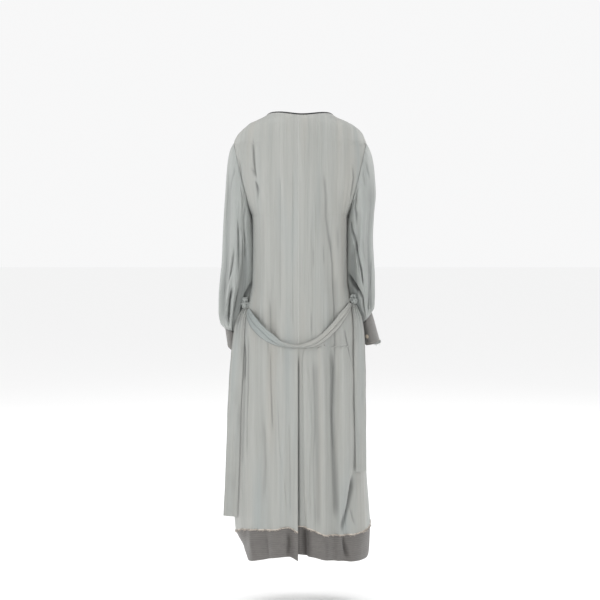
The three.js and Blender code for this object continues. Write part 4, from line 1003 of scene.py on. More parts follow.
# Sleeves
sleeveSections = {
    "left": table(
        "at outerX outerZ innerX innerZ depth middleY",
        (0, 216.4, -90, 158.4, -325, 88, 2), (0.05, 227, -108, 160.5, -340, 90, 2),
        (0.12, 235, -143, 161, -356, 89, 2), (0.2, 240, -190, 161, -376, 85, 1),
        (0.29, 244, -250, 160, -402, 81, 0), (0.39, 249, -320, 159, -434, 78, -3),
        (0.5, 253, -400, 159, -476, 77, -6), (0.6, 256, -475, 160, -520, 79, -9),
        (0.7, 262, -540, 166, -566, 83, -12), (0.78, 265, -592, 178, -608, 86, -14),
        (0.86, 265, -640, 189, -652, 84, -16), (0.93, 259, -676, 199, -690, 72, -18),
        (1, 245, -696, 206, -706, 50, -20)),
    "right": table(
        "at outerX outerZ innerX innerZ depth middleY",
        (0, 216.4, -90, 158.4, -325, 88, 2), (0.05, 227, -108, 160.5, -340, 90, 2),
        (0.12, 238, -143, 161, -356, 89, 2), (0.2, 244, -190, 161, -376, 85, 1),
        (0.29, 248, -255, 161, -402, 81, 0), (0.39, 242, -325, 161, -434, 77, -2),
        (0.5, 239, -400, 160, -476, 76, -4), (0.6, 242, -470, 161, -520, 78, -6),
        (0.7, 245, -530, 168, -564, 82, -8), (0.78, 245, -574, 179, -604, 84, -9),
        (0.86, 244, -606, 189, -642, 80, -10), (0.93, 241, -628, 197, -668, 68, -11),
        (1, 235, -640, 203, -681, 50, -12)),
}
sleeve = {
    # the first three values set painted shade: how much darker the folds grow towards the cuff, and the band
    # of painted shade at the sleeve's end above the cuff
    "foldShadeBoost": 0.9, "seamShade": 0.75, "seamReach": 0.026,
    "columns": 168, "rows": 180, "length": 610, "round": 520, "head": 20, "foldShift": 0.025,
    "gatherWaves": 14, "gatherFrom": 0.5, "gatherHeight": 3.6, "atCuff": 1.3, "cuffFrom": 0.93,
    # the last two say where along the sleeve the painted fold shade is deepest and how far it reaches
    "leanTurn": 0.565, "leanHalf": 0.075, "foldShadeAt": 0.74, "foldShadeOver": 0.24,
    "lean": table("at height", (0.16, 0), (0.28, 6.5), (0.6, 7.5), (0.7, 11), (0.78, 14), (0.86, 11),
                  (0.95, 0)),
    "cuts": {"left": (0.45, 0.6, 0.23), "right": (0.45, 0.56, 0.2)},
    "press": table("at reach", (0, 0), (0.04, 4), (0.1, 7), (0.3, 6), (0.5, 3), (0.7, 0)),
    "billowTurn": 0.41, "billowHalf": 0.12,
    "billow": table("at height", (0.015, 0), (0.06, 6), (0.16, 10), (0.3, 12), (0.6, 13), (0.7, 15),
                    (0.78, 17), (0.86, 13), (0.95, 0)),
    "folds": table("turn half start end height", (0.13, 0.07, 0.12, 0.95, -6), (0.24, 0.07, 0.2, 0.98, 4),
                   (0.34, 0.06, 0.35, 0.98, -7), (0.66, 0.07, 0.3, 0.95, -6), (0.8, 0.08, 0.1, 0.9, 4)),
    "crinkles": table("across along height", (24, 300, 1.7), (11, 190, 0.8), (6, 120, 0.35)),
}
# creases of the sleeves: half width in thousandths of a turn, height, then their way as thousandths of a
# turn and millimetres down, in turns
sleeveCreases = {
    "left": [
        (16, -2.0, 355, 24, 330, 131, 338, 200, 344, 260),
        (15, -3.2, 258, 170, 266, 230, 274, 290, 288, 380), (12, -2.4, 330, 175, 346, 240, 359, 330),
        (16, -3.6, 236, 290, 223, 330, 200, 400, 188, 440),
        (22, -5.6, 236, 420, 230, 474, 240, 530, 246, 575), (16, -4.2, 196, 465, 202, 510, 208, 560),
        (12, -1.6, 147, 14, 182, 50, 160, 110, 152, 160), (20, -3.6, 425, 370, 380, 449, 368, 530),
        (12, -1.8, 247, 18, 300, 50, 316, 120), (16, 2.6, 300, 190, 312, 290, 316, 380),
        (18, 3.2, 212, 380, 214, 460, 220, 560), (18, 3.0, 262, 400, 270, 480, 268, 570),
        (14, -2.4, 312, 420, 318, 500, 306, 570), (12, -1.2, 100, 60, 104, 180, 96, 280),
        (12, -1.6, 120, 400, 134, 480, 140, 560), (12, -1.4, 60, 440, 70, 560),
        (22, -3.6, 640, 250, 650, 400, 640, 540), (22, 3.0, 700, 240, 710, 420, 700, 560),
        (22, -4.0, 780, 320, 790, 440, 780, 560), (18, -2.2, 880, 90, 890, 260),
    ],
    "right": [
        (15, -3.0, 262, 10, 300, 20, 340, 60, 330, 120, 326, 180),
        (14, -4.4, 396, 60, 378, 159, 300, 310, 262, 373, 258, 450),
        (18, -4.6, 424, 340, 370, 410, 292, 470, 304, 530, 296, 575),
        (12, -1.6, 149, 12, 160, 60, 150, 110), (12, -1.4, 185, 14, 206, 40, 214, 90),
        (12, -2.2, 333, 230, 312, 320, 286, 400), (14, -3.0, 190, 420, 200, 470, 226, 520, 232, 570),
        (12, -1.2, 246, 240, 228, 310, 206, 370), (16, 2.6, 356, 200, 330, 300, 300, 370),
        (18, 3.0, 240, 400, 262, 480, 266, 560), (16, 2.4, 330, 400, 340, 480, 330, 560),
        (12, -1.6, 92, 330, 130, 420, 150, 470), (12, -1.2, 96, 90, 104, 200, 98, 300),
        (12, -1.6, 120, 500, 124, 570), (22, -3.6, 650, 230, 640, 380, 650, 500),
        (22, 3.0, 710, 220, 700, 400, 706, 520), (22, -4.0, 790, 300, 780, 420, 788, 520),
        (18, -2.2, 890, 80, 880, 240),
    ],
}
puckersAtHead = {"waves": 22, "height": 0.9, "reach": 26}


def sleeveSection(side, at):
    rows = sleeveSections[side]
    get = {name: read(rows, name, at, "at") for name in rows if name != "at"}
    none = 0 * get["outerX"]
    outer = np.stack([sideSign[side] * get["outerX"], none, get["outerZ"]], axis=-1)
    inner = np.stack([sideSign[side] * get["innerX"], none, get["innerZ"]], axis=-1)
    return outer, inner, get["depth"], get["middleY"]


def ovalPoint(outer, inner, depth, middleY, turn, lift):
    middle, arm = (outer + inner) / 2, (outer - inner) / 2
    reach = np.linalg.norm(arm, axis=-1)
    direction = arm / reach[..., None]
    cos, sin = np.cos(turn * 2 * math.pi), np.sin(turn * 2 * math.pi)
    outX, outY = cos * depth, sin * reach
    size = np.hypot(outX, outY)
    flatX, flatY = cos * reach + outX / size * lift, sin * depth + outY / size * lift
    point = middle + direction * flatX[..., None]
    point[..., 1] = middleY + flatY
    return point


def turnGap(turn, other):
    gap = np.abs(turn - other) % 1
    return np.minimum(gap, 1 - gap)


def makeSleeve(side, seed):
    columns, rows = int(sleeve["columns"] * fine), int(sleeve["rows"] * fine)
    turn = (np.arange(columns) / columns)[None, :]
    at = shares(rows)[:, None]
    outerEnd, innerEnd, depth, middleY = sleeveSection(side, at)
    shape = np.broadcast_shapes(turn.shape, at.shape)
    turnGrid, atGrid = np.broadcast_to(turn, shape), np.broadcast_to(at, shape)
    nearBody = smooth((turnGap(turnGrid, 0.5) - 0.02) / 0.12)
    lift = np.zeros(shape)
    for place, half, start, end, height in zip(*sleeve["folds"].values()):
        strength = smooth((atGrid - start) / 0.15) * smooth((end - atGrid) / 0.1)
        place = place if side == "left" else place + sleeve["foldShift"]
        lift += height * strength * hump(turnGap(turnGrid, place) / half)
    down = atGrid * sleeve["length"]
    crease = creaseLift(sleeveCreases[side], turnGrid * 1000, down)
    # painted shade: creases and folds are darkened, more so near the cuff, and a band of painted shade runs
    # round the sleeve's end where it blouses over the cuff
    deep = 1 + sleeve["foldShadeBoost"] * hump((atGrid - sleeve["foldShadeAt"]) / sleeve["foldShadeOver"])
    shade = np.clip(-crease * deep / 11, 0, 0.7) + np.clip(-lift * deep / 22, 0, 0.4)
    shade = np.maximum(shade, sleeve["seamShade"] * hump((1 - atGrid) / sleeve["seamReach"]))
    lift += crease
    grow = smooth((atGrid - sleeve["gatherFrom"]) / (1 - sleeve["gatherFrom"]))
    atCuff = smooth((atGrid - sleeve["cuffFrom"]) / (1 - sleeve["cuffFrom"]))
    uneven = 0.75 + 0.25 * np.sin(turnGrid * 6 * math.pi + sideSign[side])
    drift = softNoise(turnGrid * 1000, down, 90, 240, seed + 5) * 0.012
    wave = np.cos(2 * math.pi * sleeve["gatherWaves"] * (turnGrid + drift * (1 - atCuff)))
    gather = mix(sleeve["gatherHeight"] * grow, sleeve["atCuff"], atCuff) * uneven * wave
    around = sleeve["round"] * turnGrid
    wrap = smooth(np.minimum(turnGrid, 1 - turnGrid) * 12)
    crinkle = crinkleLift(around, down, seed, sleeve["crinkles"]) * wrap
    head = smooth(down / sleeve["head"])
    pucker = puckersAtHead["height"] * np.sin(turnGrid * 2 * math.pi * puckersAtHead["waves"])
    pucker = pucker * hump(down / puckersAtHead["reach"]) * smooth(down / 4)
    crinkle = crinkle * (1 - atCuff) * (0.4 + 0.6 * nearBody)
    total = ((lift * (1 - atCuff) + gather) * nearBody + crinkle) * head
    lean = hump((turnGrid - sleeve["leanTurn"]) / sleeve["leanHalf"])
    lean = lean * read(sleeve["lean"], "height", atGrid, "at")
    billow = hump((turnGrid - sleeve["billowTurn"]) / sleeve["billowHalf"])
    billow = billow * read(sleeve["billow"], "height", atGrid, "at")
    total = total + pucker * nearBody + lean + billow  # rests against the body's front and back
    ends = [np.broadcast_to(e, shape + (3,)) for e in (outerEnd, innerEnd)]
    depth, middleY = np.broadcast_to(depth, shape), np.broadcast_to(middleY, shape)
    outer = ovalPoint(*ends, depth, middleY, turnGrid, total)
    inner = ovalPoint(*ends, depth, middleY, turnGrid, total - walls["satin"])
    press = hump((turnGap(turnGrid, 0.5) - 0.06) / 0.13) * read(sleeve["press"], "reach", atGrid, "at")
    for grid in (outer, inner):
        grid[..., 0] -= sideSign[side] * press
    # the whole sleeve gets the painted cool shade tint
    piece = wallPiece(f"sleeve{side.title()}", outer, inner, "sleeveSatinShaded", "sleeve_satin", around, -down,
                      ringed=True, shade=shade, cool=1.0)
    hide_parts(f"sleeve_{side}")
    return outer


sleeveGrids = {side: makeSleeve(side, 400 + 60 * n) for n, side in enumerate(sideSign)}
stage("sleeves")

# Cuffs and their buttons
cuffFray = {"wide": 19.0, "steps": (-1.5, 0.5, 2.5)}
cuffEnds = {
    "left": {"outerX": 238, "outerZ": -752, "innerX": 206, "innerZ": -774, "depth": 50, "middleY": -24},
    "right": {"outerX": 262, "outerZ": -737, "innerX": 214, "innerZ": -748, "depth": 52, "middleY": -14},
}
cuff = {"columns": 110, "rows": 26, "lapStart": 0.32, "lapShare": 0.07, "lapLift": 4.2, "buttonAlong": 0.62,
        "round": 230, "drop": 80, "ripple": 1.3, "topRoll": 0.4, "topReach": 0.07, "endRoll": 0.4,
        "endReach": 0.05,
        "cuts": {"left": (0.25, 0.08, 0.0175), "right": (0.25, 0.1, 0.022)}}
button = {"radius": 6.5, "thick": 2.6, "dish": 0.8, "sides": 48, "seat": 0.5, "threadSides": 10,
          "thread": [(0.01, -2.4), (0.5, -2.2), (0.62, 0), (0.5, 2.2), (0.01, 2.4)]}


def cuffPoint(side, along, share, wallIn, ripple=0.0):
    outer, inner, depth, middleY = sleeveSection(side, np.array(1.0))
    end = cuffEnds[side]
    lowOuter = np.array([sideSign[side] * end["outerX"], 0, end["outerZ"]])
    lowInner = np.array([sideSign[side] * end["innerX"], 0, end["innerZ"]])
    along, share = np.broadcast_arrays(np.asarray(along, float), np.asarray(share, float))
    drop = np.stack([0 * along, 0 * along, mix(-seamGap * 1.5, 0, along)], axis=-1)
    outer = mix(outer, lowOuter, along[..., None]) + drop
    inner = mix(inner, lowInner, along[..., None]) + drop
    turn = cuff["lapStart"] + share * (1 + cuff["lapShare"])
    lap = smooth((share - (1 - 3 * cuff["lapShare"])) / (2 * cuff["lapShare"]))
    return ovalPoint(outer, inner, mix(depth, end["depth"], along), mix(middleY, end["middleY"], along),
                     turn, cuff["lapLift"] * lap - wallIn + ripple)


def makeCuff(side, seed):
    columns, rows = int(cuff["columns"] * fine), int(cuff["rows"] * fine)
    share = np.broadcast_to(shares(columns), (rows + 1, columns + 1))
    along = np.broadcast_to(shares(rows)[:, None], share.shape)
    calm = smooth((1 - 3.2 * cuff["lapShare"] - share) / 0.08) * smooth((share - 0.09) / 0.05)
    ripple = cuff["ripple"] * softNoise(share * 240, along * 90, 34, 60, seed) * smooth(along * 3)
    ripple = ripple + cuff["topRoll"] * hump(along / cuff["topReach"])
    ripple = (ripple - cuff["endRoll"] * hump((1 - along) / cuff["endReach"])) * calm
    outer = cuffPoint(side, along, share, 0, ripple)
    inner = cuffPoint(side, along, share, walls["wool"], ripple)
    piece = wallPiece(f"cuff{side.title()}", outer, inner, "cuffWool", "wool", share * cuff["round"],
                      -along * cuff["drop"])
    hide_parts(f"cuff_{side}")
    return outer


def lathe(profile, sides):
    turn = roundTurn(sides)
    radius, height = np.array(profile, float).T
    rings = np.stack([radius[:, None] * np.cos(turn), radius[:, None] * np.sin(turn),
                      np.broadcast_to(height[:, None], (len(height), sides))], axis=-1)
    return rings.reshape(-1, 3), sideFaces(ringNumbers(len(rings), sides), True)


def placed(points, origin, axisX, axisY, axisZ):
    return origin + points[:, :1] * axisX + points[:, 1:2] * axisY + points[:, 2:3] * axisZ


def makeButton(side):
    share, along = 1 - cuff["lapShare"] * 0.9, cuff["buttonAlong"]
    origin = cuffPoint(side, along, share, 0)
    axisY = unit(cuffPoint(side, along + 0.1, share, 0) - origin)
    axisX = unit(cuffPoint(side, along, share + 0.01, 0) - origin)
    axisZ = unit(np.cross(axisX, axisY))
    middle = (cuffPoint(side, along, 0.1, 0) + cuffPoint(side, along, 0.567, 0)) / 2  # opposite places
    if (axisZ * (origin - middle)).sum() < 0:
        axisZ, axisX = -axisZ, -axisX
    axisY = np.cross(axisZ, axisX)
    origin = origin + axisZ * button["seat"]
    r, t, dish = button["radius"], button["thick"], button["dish"]
    profile = [(0.01, 0), (r * 0.82, 0), (r * 0.94, t * 0.1), (r, t * 0.35), (r * 0.99, t * 0.7),
               (r * 0.93, t * 0.95), (r * 0.84, t), (r * 0.74, t * 0.97), (r * 0.64, t - dish * 0.7),
               (r * 0.52, t - dish), (0.01, t - dish)]
    points, faces = lathe(profile, button["sides"])
    points = placed(points, origin, axisX, axisY, axisZ)
    piece = addPiece(f"cuffButton{side.title()}", points, faces, "horn")
    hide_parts(f"cuff_button_{side}")
    stitches = []
    for turn in (math.pi / 4, -math.pi / 4):  # crossed threads through the holes
        bar, barFaces = lathe(button["thread"], button["threadSides"])
        cos, sin = math.cos(turn), math.sin(turn)
        x, y, z = bar.T
        laid = np.stack([z * cos - x * sin, z * sin + x * cos, y + t - dish], axis=1)
        stitches.append((placed(laid, origin, axisX, axisY, axisZ), barFaces))
    allPoints = np.concatenate([p for p, _ in stitches])
    allFaces = np.concatenate([stitches[0][1], stitches[1][1] + len(stitches[0][0])])
    addPiece(f"buttonThread{side.title()}", allPoints, allFaces, "rawThread")


cuffGrids = {side: makeCuff(side, 620 + n) for n, side in enumerate(sideSign)}
for side in sideSign:
    makeButton(side)
stage("cuffs and buttons")

# Belt: sling, two tails, two gathered stretches and their thread loops
slingRows = table(
    "x z height bulge",
    (168, -628, 14, 6), (160, -648, 27, 5), (147, -669, 34, 4), (127, -691, 35, 4), (96, -714, 32, 5),
    (58, -733, 18, 10), (10, -740, 11, 13), (-35, -734, 21, 10), (-64, -720, 25, 8), (-90, -699, 26, 8),
    (-115, -674, 27, 8), (-137, -646, 26, 7), (-154, -624, 20, 6), (-163, -608, 13, 6))
slingRows["at"] = np.arange(len(slingRows["x"])).astype(float)
# the shade, downShade and darkest values and the cool ones set painted shade: along the edges, in the creases
# and on the stretch that faces down
slingFace = {"step": 0.5, "downTo": 5.5, "downEase": 4, "down": 7, "uneven": 0.8, "grooveDepth": 0.8,
             "grooveAt": 0.9, "groove": 0.7, "crease": 0.5, "shade": 0.02, "downShade": 0.16, "darkest": 0.75,
             "cool": 1.1, "coolTo": 6.5, "coolEase": 3}
# the first five values are painted shade: along the tail's edges, in its rolls and in its pleats
tail = {"shade": 0.3, "shadeHalf": 0.08, "rollShade": 0.1, "pleatShade": 0.25, "darkest": 0.5,
        "ease": 1.25, "wave": 1.5, "pleats": 3.5, "pleatHeight": 2.2, "pleatReach": 60, "roll": 0.9,
        "pucker": 0.45, "puckerPitch": 13, "waver": 1.2, "edge": 4}
tailRows = {
    "left": table("z near far turnIn", (-622, 168, 181, 3), (-640, 172, 196, 5), (-662, 177, 208, 8),
                  (-710, 179, 216, 12), (-765, 181, 223, 15), (-840, 184, 228, 16), (-920, 188, 232, 16),
                  (-1080, 193, 238, 16), (-1177, 196, 242, 16), (-1294, 201, 247, 16)),
    "right": table("z near far turnIn", (-606, 165, 178, 3), (-628, 169, 190, 6), (-660, 172, 202, 14),
                   (-720, 173, 209, 24), (-800, 173, 212, 28), (-900, 174, 212, 28), (-1020, 176, 213, 28),
                   (-1146, 178, 214, 28)),
}
# the first entry is painted shade along the sling's lower and upper edges and in its creases
belt = {"slingEdgeShade": {"half": 0.2, "lower": 0.6, "upper": 0.45, "crease": 0.35}, "clear": 9, "tailClear": 8,
        "slingColumns": 40, "slingRows": 150, "tailColumns": 26, "tailRows": 150,
        "flatHalf": 25, "flatWide": 48,
        "cuts": {"sling": (0.05, 0.43, 0.0215), "left": (0.05, 0.68, 0.034), "right": (0.05, 0.54, 0.027),
                 "gather": (0.05, 0.05, 0.0025)}}
# shadeBelow, dark, darkest and cool set painted shade in the hollows between the pleats, with part of the
# painted cool shade tint
knotPleats = {"twist": 0.7, "mean": 0.96, "wave": 0.2, "ridge": 0.3, "waist": 0.16, "waistAt": 0.42,
              "wall": 0.8, "around": 96, "rows": 40, "shadeBelow": 1.05, "dark": 1.5, "darkest": 0.9,
              "cool": 0.6}
knots = {
    "left": {"share": 0.79, "z": -611, "out": 12, "wide": 10.5, "deep": 8, "tall": 19},
    "right": {"share": 0.79, "z": -598, "out": 12, "wide": 10, "deep": 8, "tall": 16},
}
# lengthwise folds of the sling: place across, half width and height along the way
slingFolds = table("at place half height", (0, 0.1, 0.5, 2.6), (1.5, 0.2, 0.4, 2.2), (3, 0.35, 0.35, 2.0),
                   (4.2, 0.1, 0.35, 2.6), (5.2, -0.1, 0.5, 2.4), (7, 0.1, 0.4, 1.6), (8.5, 0.25, 0.35, 1.8),
                   (10, 0.2, 0.35, 2.2), (11.5, 0.0, 0.4, 2.4), (13, 0.0, 0.5, 2.8))


def makeSling():
    face, columns, rows = slingFace, int(belt["slingColumns"] * fine), int(belt["slingRows"] * fine)
    at = np.linspace(0, slingRows["at"][-1], rows + 1)
    get = {name: read(slingRows, name, at, "at") for name in ("x", "z", "height", "bulge")}
    last = slingRows["at"][-1]
    ahead = [read(slingRows, n, np.minimum(last, at + face["step"]), "at") for n in ("x", "z")]
    behind = [read(slingRows, n, np.maximum(0, at - face["step"]), "at") for n in ("x", "z")]
    alongX, alongZ = ahead[0] - behind[0], ahead[1] - behind[1]
    size = np.hypot(alongX, alongZ)
    acrossX, acrossZ = -alongZ / size, alongX / size
    spread = np.linspace(-1, 1, columns + 1)[None, :]
    x = get["x"][:, None] + acrossX[:, None] * spread * get["height"][:, None] * 0.5
    z = get["z"][:, None] + acrossZ[:, None] * spread * get["height"][:, None] * 0.5
    lift = belt["clear"] + get["bulge"][:, None] * (1 - spread ** 2)
    place, half, height = (read(slingFolds, n, at, "at")[:, None] for n in ("place", "half", "height"))
    off = -spread - place
    beside = off + half * face["grooveAt"]
    lift = lift + height * (hump(off / half) - face["grooveDepth"] * hump(beside / (half * face["groove"])))
    walked = walkedAlong(np.stack([get["x"], get["z"]], axis=1))[:, None]
    facesDown = smooth((face["downTo"] - at) / face["downEase"])[:, None] * smooth(at)[:, None]
    lift = lift + face["down"] * (1 - spread) * facesDown  # the wide stretch turns its face down
    lift = lift + face["uneven"] * softNoise(spread * 20 + walked * 0.05, walked, 7, 46, 901)
    outer = np.stack([x, backDepth(x, z) + lift, z], axis=-1)
    normal = backNormals(outer)
    inner = outer - normal * walls["belt"]
    # painted shade: dark lines along both edges, in the creases, and more on the stretch that turns its face
    # down; that stretch also gets the painted cool shade tint
    edges = belt["slingEdgeShade"]
    edge = hump((spread - 1) / edges["half"]) * edges["lower"]
    edge = edge + hump((spread + 1) / edges["half"]) * edges["upper"]
    creased = np.minimum(height, 1) * hump(beside / (half * face["crease"]))
    shade = face["shade"] + face["downShade"] * facesDown + edge + edges["crease"] * creased
    shade = np.clip(shade, 0, face["darkest"])
    cool = face["cool"] * smooth((face["coolTo"] - at) / face["coolEase"])[:, None]
    piece = wallPiece("beltSling", outer, inner, "beltSatinShaded", "satin", spread * belt["flatHalf"], walked,
                      shade=shade, cool=cool)
    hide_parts("belt")


def makeTail(side):
    rows = tailRows[side]
    columns, count = int(belt["tailColumns"] * fine), int(belt["tailRows"] * fine)
    step = shares(count)[:, None]
    z = mix(rows["z"][0], rows["z"][-1], step ** tail["ease"])
    near, far, turnIn = (read(rows, n, z) for n in ("near", "far", "turnIn"))
    edge = read(bodySections, side, z) - tail["edge"]
    start = backDepth(sideSign[side] * np.minimum(near, edge), z)
    across = np.linspace(0, 1, columns + 1)[None, :]
    y = start + belt["tailClear"] - turnIn * across ** 2 + tail["wave"] * np.sin(step * 20.8 + across * 3)
    top = rows["z"][0] - z
    pleats = np.cos(across * 2 * math.pi * tail["pleats"]) * tail["pleatHeight"]
    pleats = pleats * np.exp(-top / tail["pleatReach"])
    rolls = tail["roll"] * softNoise(across * 36, z, 12, 70, 930 if side == "left" else 950)
    pucker = np.sin(z * 2 * math.pi / tail["puckerPitch"] + across * 5) * hump((across - 0.04) / 0.28)
    pucker = pucker * tail["pucker"]
    y = y + pleats + rolls * smooth(top / 30) + pucker
    waver = tail["waver"] * softNoise(0 * z + 3, z, 10, 60, 970) * smooth(top / tail["pleatReach"])
    x = sideSign[side] * (mix(near, far, across) + waver * (0.4 + 0.6 * across))
    outer = np.stack(np.broadcast_arrays(x, y, z), axis=-1)
    normal = backNormals(outer)
    edgeRoll = 1 + 0.7 * (hump(across / 0.06) + hump((1 - across) / 0.06)) * np.ones(z.shape)
    inner = outer - normal * (walls["belt"] * edgeRoll)[..., None]
    # painted shade along both edges of the tail, in the hollows of its rolls and in its pleats
    edges = hump(across / tail["shadeHalf"]) + hump((1 - across) / tail["shadeHalf"])
    shade = tail["shade"] * edges + np.clip(-rolls, 0, 1) * tail["rollShade"]
    shade = shade + np.clip(-pleats * tail["pleatShade"], 0, tail["darkest"])
    piece = wallPiece(f"beltTail{side.title()}", outer, inner, "satin", "satin", across * belt["flatWide"], z,
                      shade=shade)
    return outer


def knotCentre(side):
    knot = knots[side]
    point = bodyPoint(side, "back", knot["share"], knot["z"])
    return point + bodyNormal(side, "back", knot["share"], knot["z"]) * knot["out"]


def makeKnot(side, seed):
    # the belt bunched into deep uneven pleats
    knot, around, rows = knots[side], int(knotPleats["around"] * fine), int(knotPleats["rows"] * fine)
    turn = roundTurn(around)[None, :]
    down = np.linspace(0.02, 0.98, rows + 1)[:, None]
    reach = np.sin(down * math.pi) ** 0.6
    twist = turn + knotPleats["twist"] * (down - 0.5) * sideSign[side]
    ridge = 1 - 2 * np.abs(softNoise(twist * 9 + down * 14, down * 34 - twist * 3, 4.5, 9, seed))
    pleat = knotPleats["mean"] + knotPleats["wave"] * np.cos(twist * 5 + 2 * np.sin(down * 7))
    pleat = pleat + knotPleats["ridge"] * ridge
    waist = 1 - knotPleats["waist"] * hump((down - knotPleats["waistAt"]) / 0.1)
    centre = knotCentre(side)
    radius = reach * pleat * waist
    parts = (np.cos(turn) * radius * knot["wide"], np.sin(turn) * radius * knot["deep"],
             np.cos(down * math.pi) * knot["tall"])
    points = centre + np.stack(np.broadcast_arrays(*parts), axis=-1)
    middle = points.mean(axis=1, keepdims=True)
    inner = middle + (points - middle) * knotPleats["wall"]
    # painted shade in the hollows between pleats; the gather also gets part of the painted cool shade tint
    shade = np.clip((knotPleats["shadeBelow"] - pleat * waist) * knotPleats["dark"], 0, knotPleats["darkest"])
    piece = wallPiece(f"beltGather{side.title()}", points, inner, "beltSatinShaded", "satin", turn * 9, down * 40,
                      ringed=True, shade=shade, cool=knotPleats["cool"])


loopThread = {"half": 1.2, "above": 3, "footShare": 0.05, "footClear": 1.15, "radius": 13.6,
              "startAngle": -0.3, "turns": 9, "points": 60, "sides": 10}


def tube(path, radius, sides):
    along = unit(np.gradient(path, axis=0))
    first = unit(np.cross(along, np.array([0.1, 0.2, 1.0])))  # a guide that no stretch of a loop runs along
    second = np.cross(along, first)
    turn = roundTurn(sides)
    rings = (path[:, None] + first[:, None] * (np.cos(turn) * radius)[None, :, None]
             + second[:, None] * (np.sin(turn) * radius)[None, :, None])
    index = ringNumbers(len(rings), sides)
    points = rings.reshape(-1, 3)
    faces = np.concatenate([sideFaces(index), fan(index[0, :-1]), fan(index[-1, :-1], True)])
    return points, facedOut(points, faces)


def makeLoop(side):
    knot = knots[side]
    centre = knotCentre(side)
    level = knot["z"] + loopThread["above"]
    centre[2] = level
    normal = unit(bodyNormal(side, "back", knot["share"], knot["z"]) * np.array([1, 1, 0]))
    forward = np.array([-normal[1], normal[0], 0])

    def foot(way):
        share = knot["share"] + way * loopThread["footShare"]
        off = bodyNormal(side, "back", share, level) * loopThread["footClear"]
        return bodyPoint(side, "back", share, level) + off

    startWay = 1 if (forward * (foot(1) - centre)).sum() > 0 else -1
    path = [foot(startWay)]
    start = loopThread["startAngle"]
    for angle in np.linspace(start, math.pi - start, loopThread["turns"]):
        path.append(centre + (forward * math.cos(angle) + normal * math.sin(angle)) * loopThread["radius"])
    path = np.array([*path, foot(-startWay)])
    lengths = walkedAlong(path)
    at = np.linspace(0, lengths[-1], loopThread["points"])
    way = np.stack([np.interp(at, lengths, path[:, k]) for k in range(3)], axis=1)
    points, faces = tube(way, loopThread["half"], loopThread["sides"])
    piece = addPiece(f"beltLoop{side.title()}", points, faces, "satinThread")
    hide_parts(f"belt_loop_{side}")


makeSling()
tailGrids = {side: makeTail(side) for side in sideSign}
for number, side in enumerate(sideSign):
    makeKnot(side, 990 + number)
    makeLoop(side)
stage("belt")


# Threads and stitches that follow a line: thin cones, with the thickness of their tips in metres
strand = {"sides": 5, "parts": 3, "tip": 0.0002, "spin": 3.1}


def strandTree(name):
    tree = bpy.data.node_groups.new(name, "GeometryNodeTree")
    kinds = {"Geometry": "Geometry", "Spacing": "Float", "Length": "Float", "Radius": "Float",
             "Spread": "Float", "Uneven": "Float", "Seed": "Int", "Finish": "Material"}
    for title, kind in kinds.items():
        tree.interface.new_socket(title, in_out="INPUT", socket_type="NodeSocket" + kind)
    tree.interface.new_socket("Geometry", in_out="OUTPUT", socket_type="NodeSocketGeometry")

    def node(kind, settings=None, inputs=None):
        return addNode(tree, kind, settings, inputs)

    given = node("NodeGroupInput").outputs
    points = node("GeometryNodeCurveToPoints", {"mode": "LENGTH"},
                  {"Curve": given["Geometry"], "Length": given["Spacing"]})
    aimed = node("FunctionNodeAlignRotationToVector", {"axis": "Z"}, {"Vector": points.outputs["Tangent"]})
    negative = node("ShaderNodeMath", {"operation": "MULTIPLY"}, {0: given["Spread"], 1: -1.0})
    lowTurn = node("ShaderNodeCombineXYZ", None,
                   {0: negative.outputs[0], 1: negative.outputs[0], 2: -strand["spin"]})
    highTurn = node("ShaderNodeCombineXYZ", None, {0: given["Spread"], 1: given["Spread"], 2: strand["spin"]})
    turn = node("FunctionNodeRandomValue", {"data_type": "FLOAT_VECTOR"},
                {"Seed": given["Seed"], 0: lowTurn.outputs[0], 1: highTurn.outputs[0]})
    euler = node("FunctionNodeEulerToRotation", None, {0: turn.outputs[0]})
    turned = node("FunctionNodeRotateRotation", {"rotation_space": "LOCAL"},
                  {0: aimed.outputs[0], 1: euler.outputs[0]})
    least = node("ShaderNodeMath", {"operation": "SUBTRACT"}, {0: 1.0, 1: given["Uneven"]})
    size = node("FunctionNodeRandomValue", {"data_type": "FLOAT"},
                {"Seed": given["Seed"], 2: least.outputs[0], 3: 1.0})
    cone = node("GeometryNodeMeshCone", {"fill_type": "NGON"},
                  {"Vertices": strand["sides"], "Side Segments": strand["parts"], "Radius Top": strand["tip"],
                   "Radius Bottom": given["Radius"], "Depth": given["Length"]})
    scale = node("ShaderNodeCombineXYZ", None, {0: 1.0, 1: 1.0, 2: size.outputs[1]})
    copies = node("GeometryNodeInstanceOnPoints", None,
                  {"Points": points.outputs[0], "Instance": cone.outputs[0],
                   "Rotation": turned.outputs[0], "Scale": scale.outputs[0]})
    real = node("GeometryNodeRealizeInstances", None, {0: copies.outputs[0]})
    painted = node("GeometryNodeSetMaterial", None,
                   {"Geometry": real.outputs[0], "Material": given["Finish"]})
    out = node("NodeGroupOutput")
    tree.links.new(painted.outputs[0], out.inputs[0])
    return tree


strands = strandTree("strandsAlongLine")


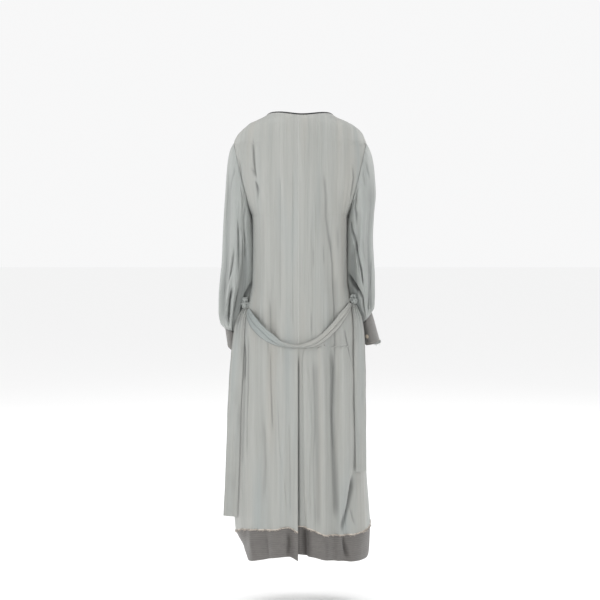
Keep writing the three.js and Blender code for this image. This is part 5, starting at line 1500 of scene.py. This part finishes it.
def strandsAlong(name, lines, slot, finish, **sizes):
    curve = bpy.data.curves.new(name + "Line", "CURVE")
    curve.dimensions = "3D"
    for line in lines:
        spline = curve.splines.new("POLY")
        spline.points.add(len(line) - 1)
        flat = np.concatenate([np.asarray(line) * 0.001, np.ones((len(line), 1))], axis=1)
        spline.points.foreach_set("co", flat.ravel())
    guide = addObject(name + "Line", curve)
    modifier = guide.modifiers.new("strands", "NODES")
    modifier.node_group = strands
    identifiers = {item.name: item.identifier for item in strands.interface.items_tree
                   if item.in_out == "INPUT"}
    for key, value in sizes.items():
        modifier[identifiers[key.title()]] = value
    modifier[identifiers["Finish"]] = finishes[finish]
    bpy.context.view_layer.update()
    solid = guide.evaluated_get(bpy.context.evaluated_depsgraph_get())
    mesh = bpy.data.meshes.new_from_object(solid)
    bpy.data.objects.remove(guide)
    mesh.name = name
    mesh.shade_smooth()
    if not mesh.materials:
        mesh.materials.append(finishes[finish])
    return ridden(name, mesh)


def lifted(line, away):
    return line + unit(line * np.array([1, 1, 0])) * away


# the worn outer corner of the right cuff: a pale ragged lip and loose threads
corner = cuffGrids["right"][-1]
corner = corner[corner[:, 0] < corner[:, 0].min() + cuffFray["wide"]]
corner = corner[np.argsort(corner[:, 1])]
cornerDown = np.array([0, 0, -1.0])
strandsAlong("cuffFray", [corner + cornerDown * step for step in cuffFray["steps"]], "satin", "satinThread",
             spacing=0.0012, length=0.0075, radius=0.0005, spread=1.3, uneven=0.8, seed=31)

# the raw top edge of the hem seam: a ragged pale lip and loose threads
fray = {"ragged": table("cell height", (9, 3), (3.7, 1.8)), "seed": 77, "out": 1.4}
for face in faceSign:
    lines = []
    for side in sideSign:
        line = seamLines[side + face].copy()
        walked = walkedAlong(line)
        for number, (cell, height) in enumerate(zip(*fray["ragged"].values())):
            line[:, 2] += height * softNoise(walked, 0 * walked, cell, 9, fray["seed"] + number)
        lines.append(lifted(line, fray["out"]))
    strandsAlong(f"hemFray{face.title()}", lines, "satin", "rawThread",
                 spacing=0.0011, length=0.0068, radius=0.00045, spread=0.95, uneven=0.8, seed=5)
    strandsAlong(f"hemWoolEnds{face.title()}", lines, "wool", "wool",
                 spacing=0.0026, length=0.0075, radius=0.0005, spread=1.1, uneven=0.8, seed=15)
    strandsAlong(f"hemLooseThreads{face.title()}", lines, "satin", "rawThread",
                 spacing=0.017, length=0.013, radius=0.0003, spread=1.6, uneven=0.6, seed=9)

stitch = {"length": 0.0024, "pitch": 0.0034, "radius": 0.00032, "proud": 0.25}  # only the last in millimetres


def stitchLine(name, lines, slot, finish="satinThread"):
    return strandsAlong(name, lines, slot, finish, spacing=stitch["pitch"], length=stitch["length"],
                        radius=stitch["radius"], spread=0.05, uneven=0.1, seed=3)


for side in sideSign:
    grid = tailGrids[side]
    inset = max(1, int(0.07 * grid.shape[1]))
    rows = slice(int(grid.shape[0] * 0.12), None)
    lines = [grid[rows, inset], grid[rows, -1 - inset], grid[-1 - int(4 * fine), inset:-inset]]
    lines = [line + np.array([0, stitch["proud"], 0]) for line in lines]
    stitchLine(f"beltStitches{side.title()}", lines, "satin")
    low = cuffGrids[side]
    ease = int(low.shape[1] * 0.12)
    edgeRow = low[-3, ease:-2] + unit(low[-3, ease:-2] - low[-3].mean(axis=0)) * 0.3
    stitchLine(f"cuffStitches{side.title()}", [edgeRow], "wool", "rawThread")
stage("threads and stitches")
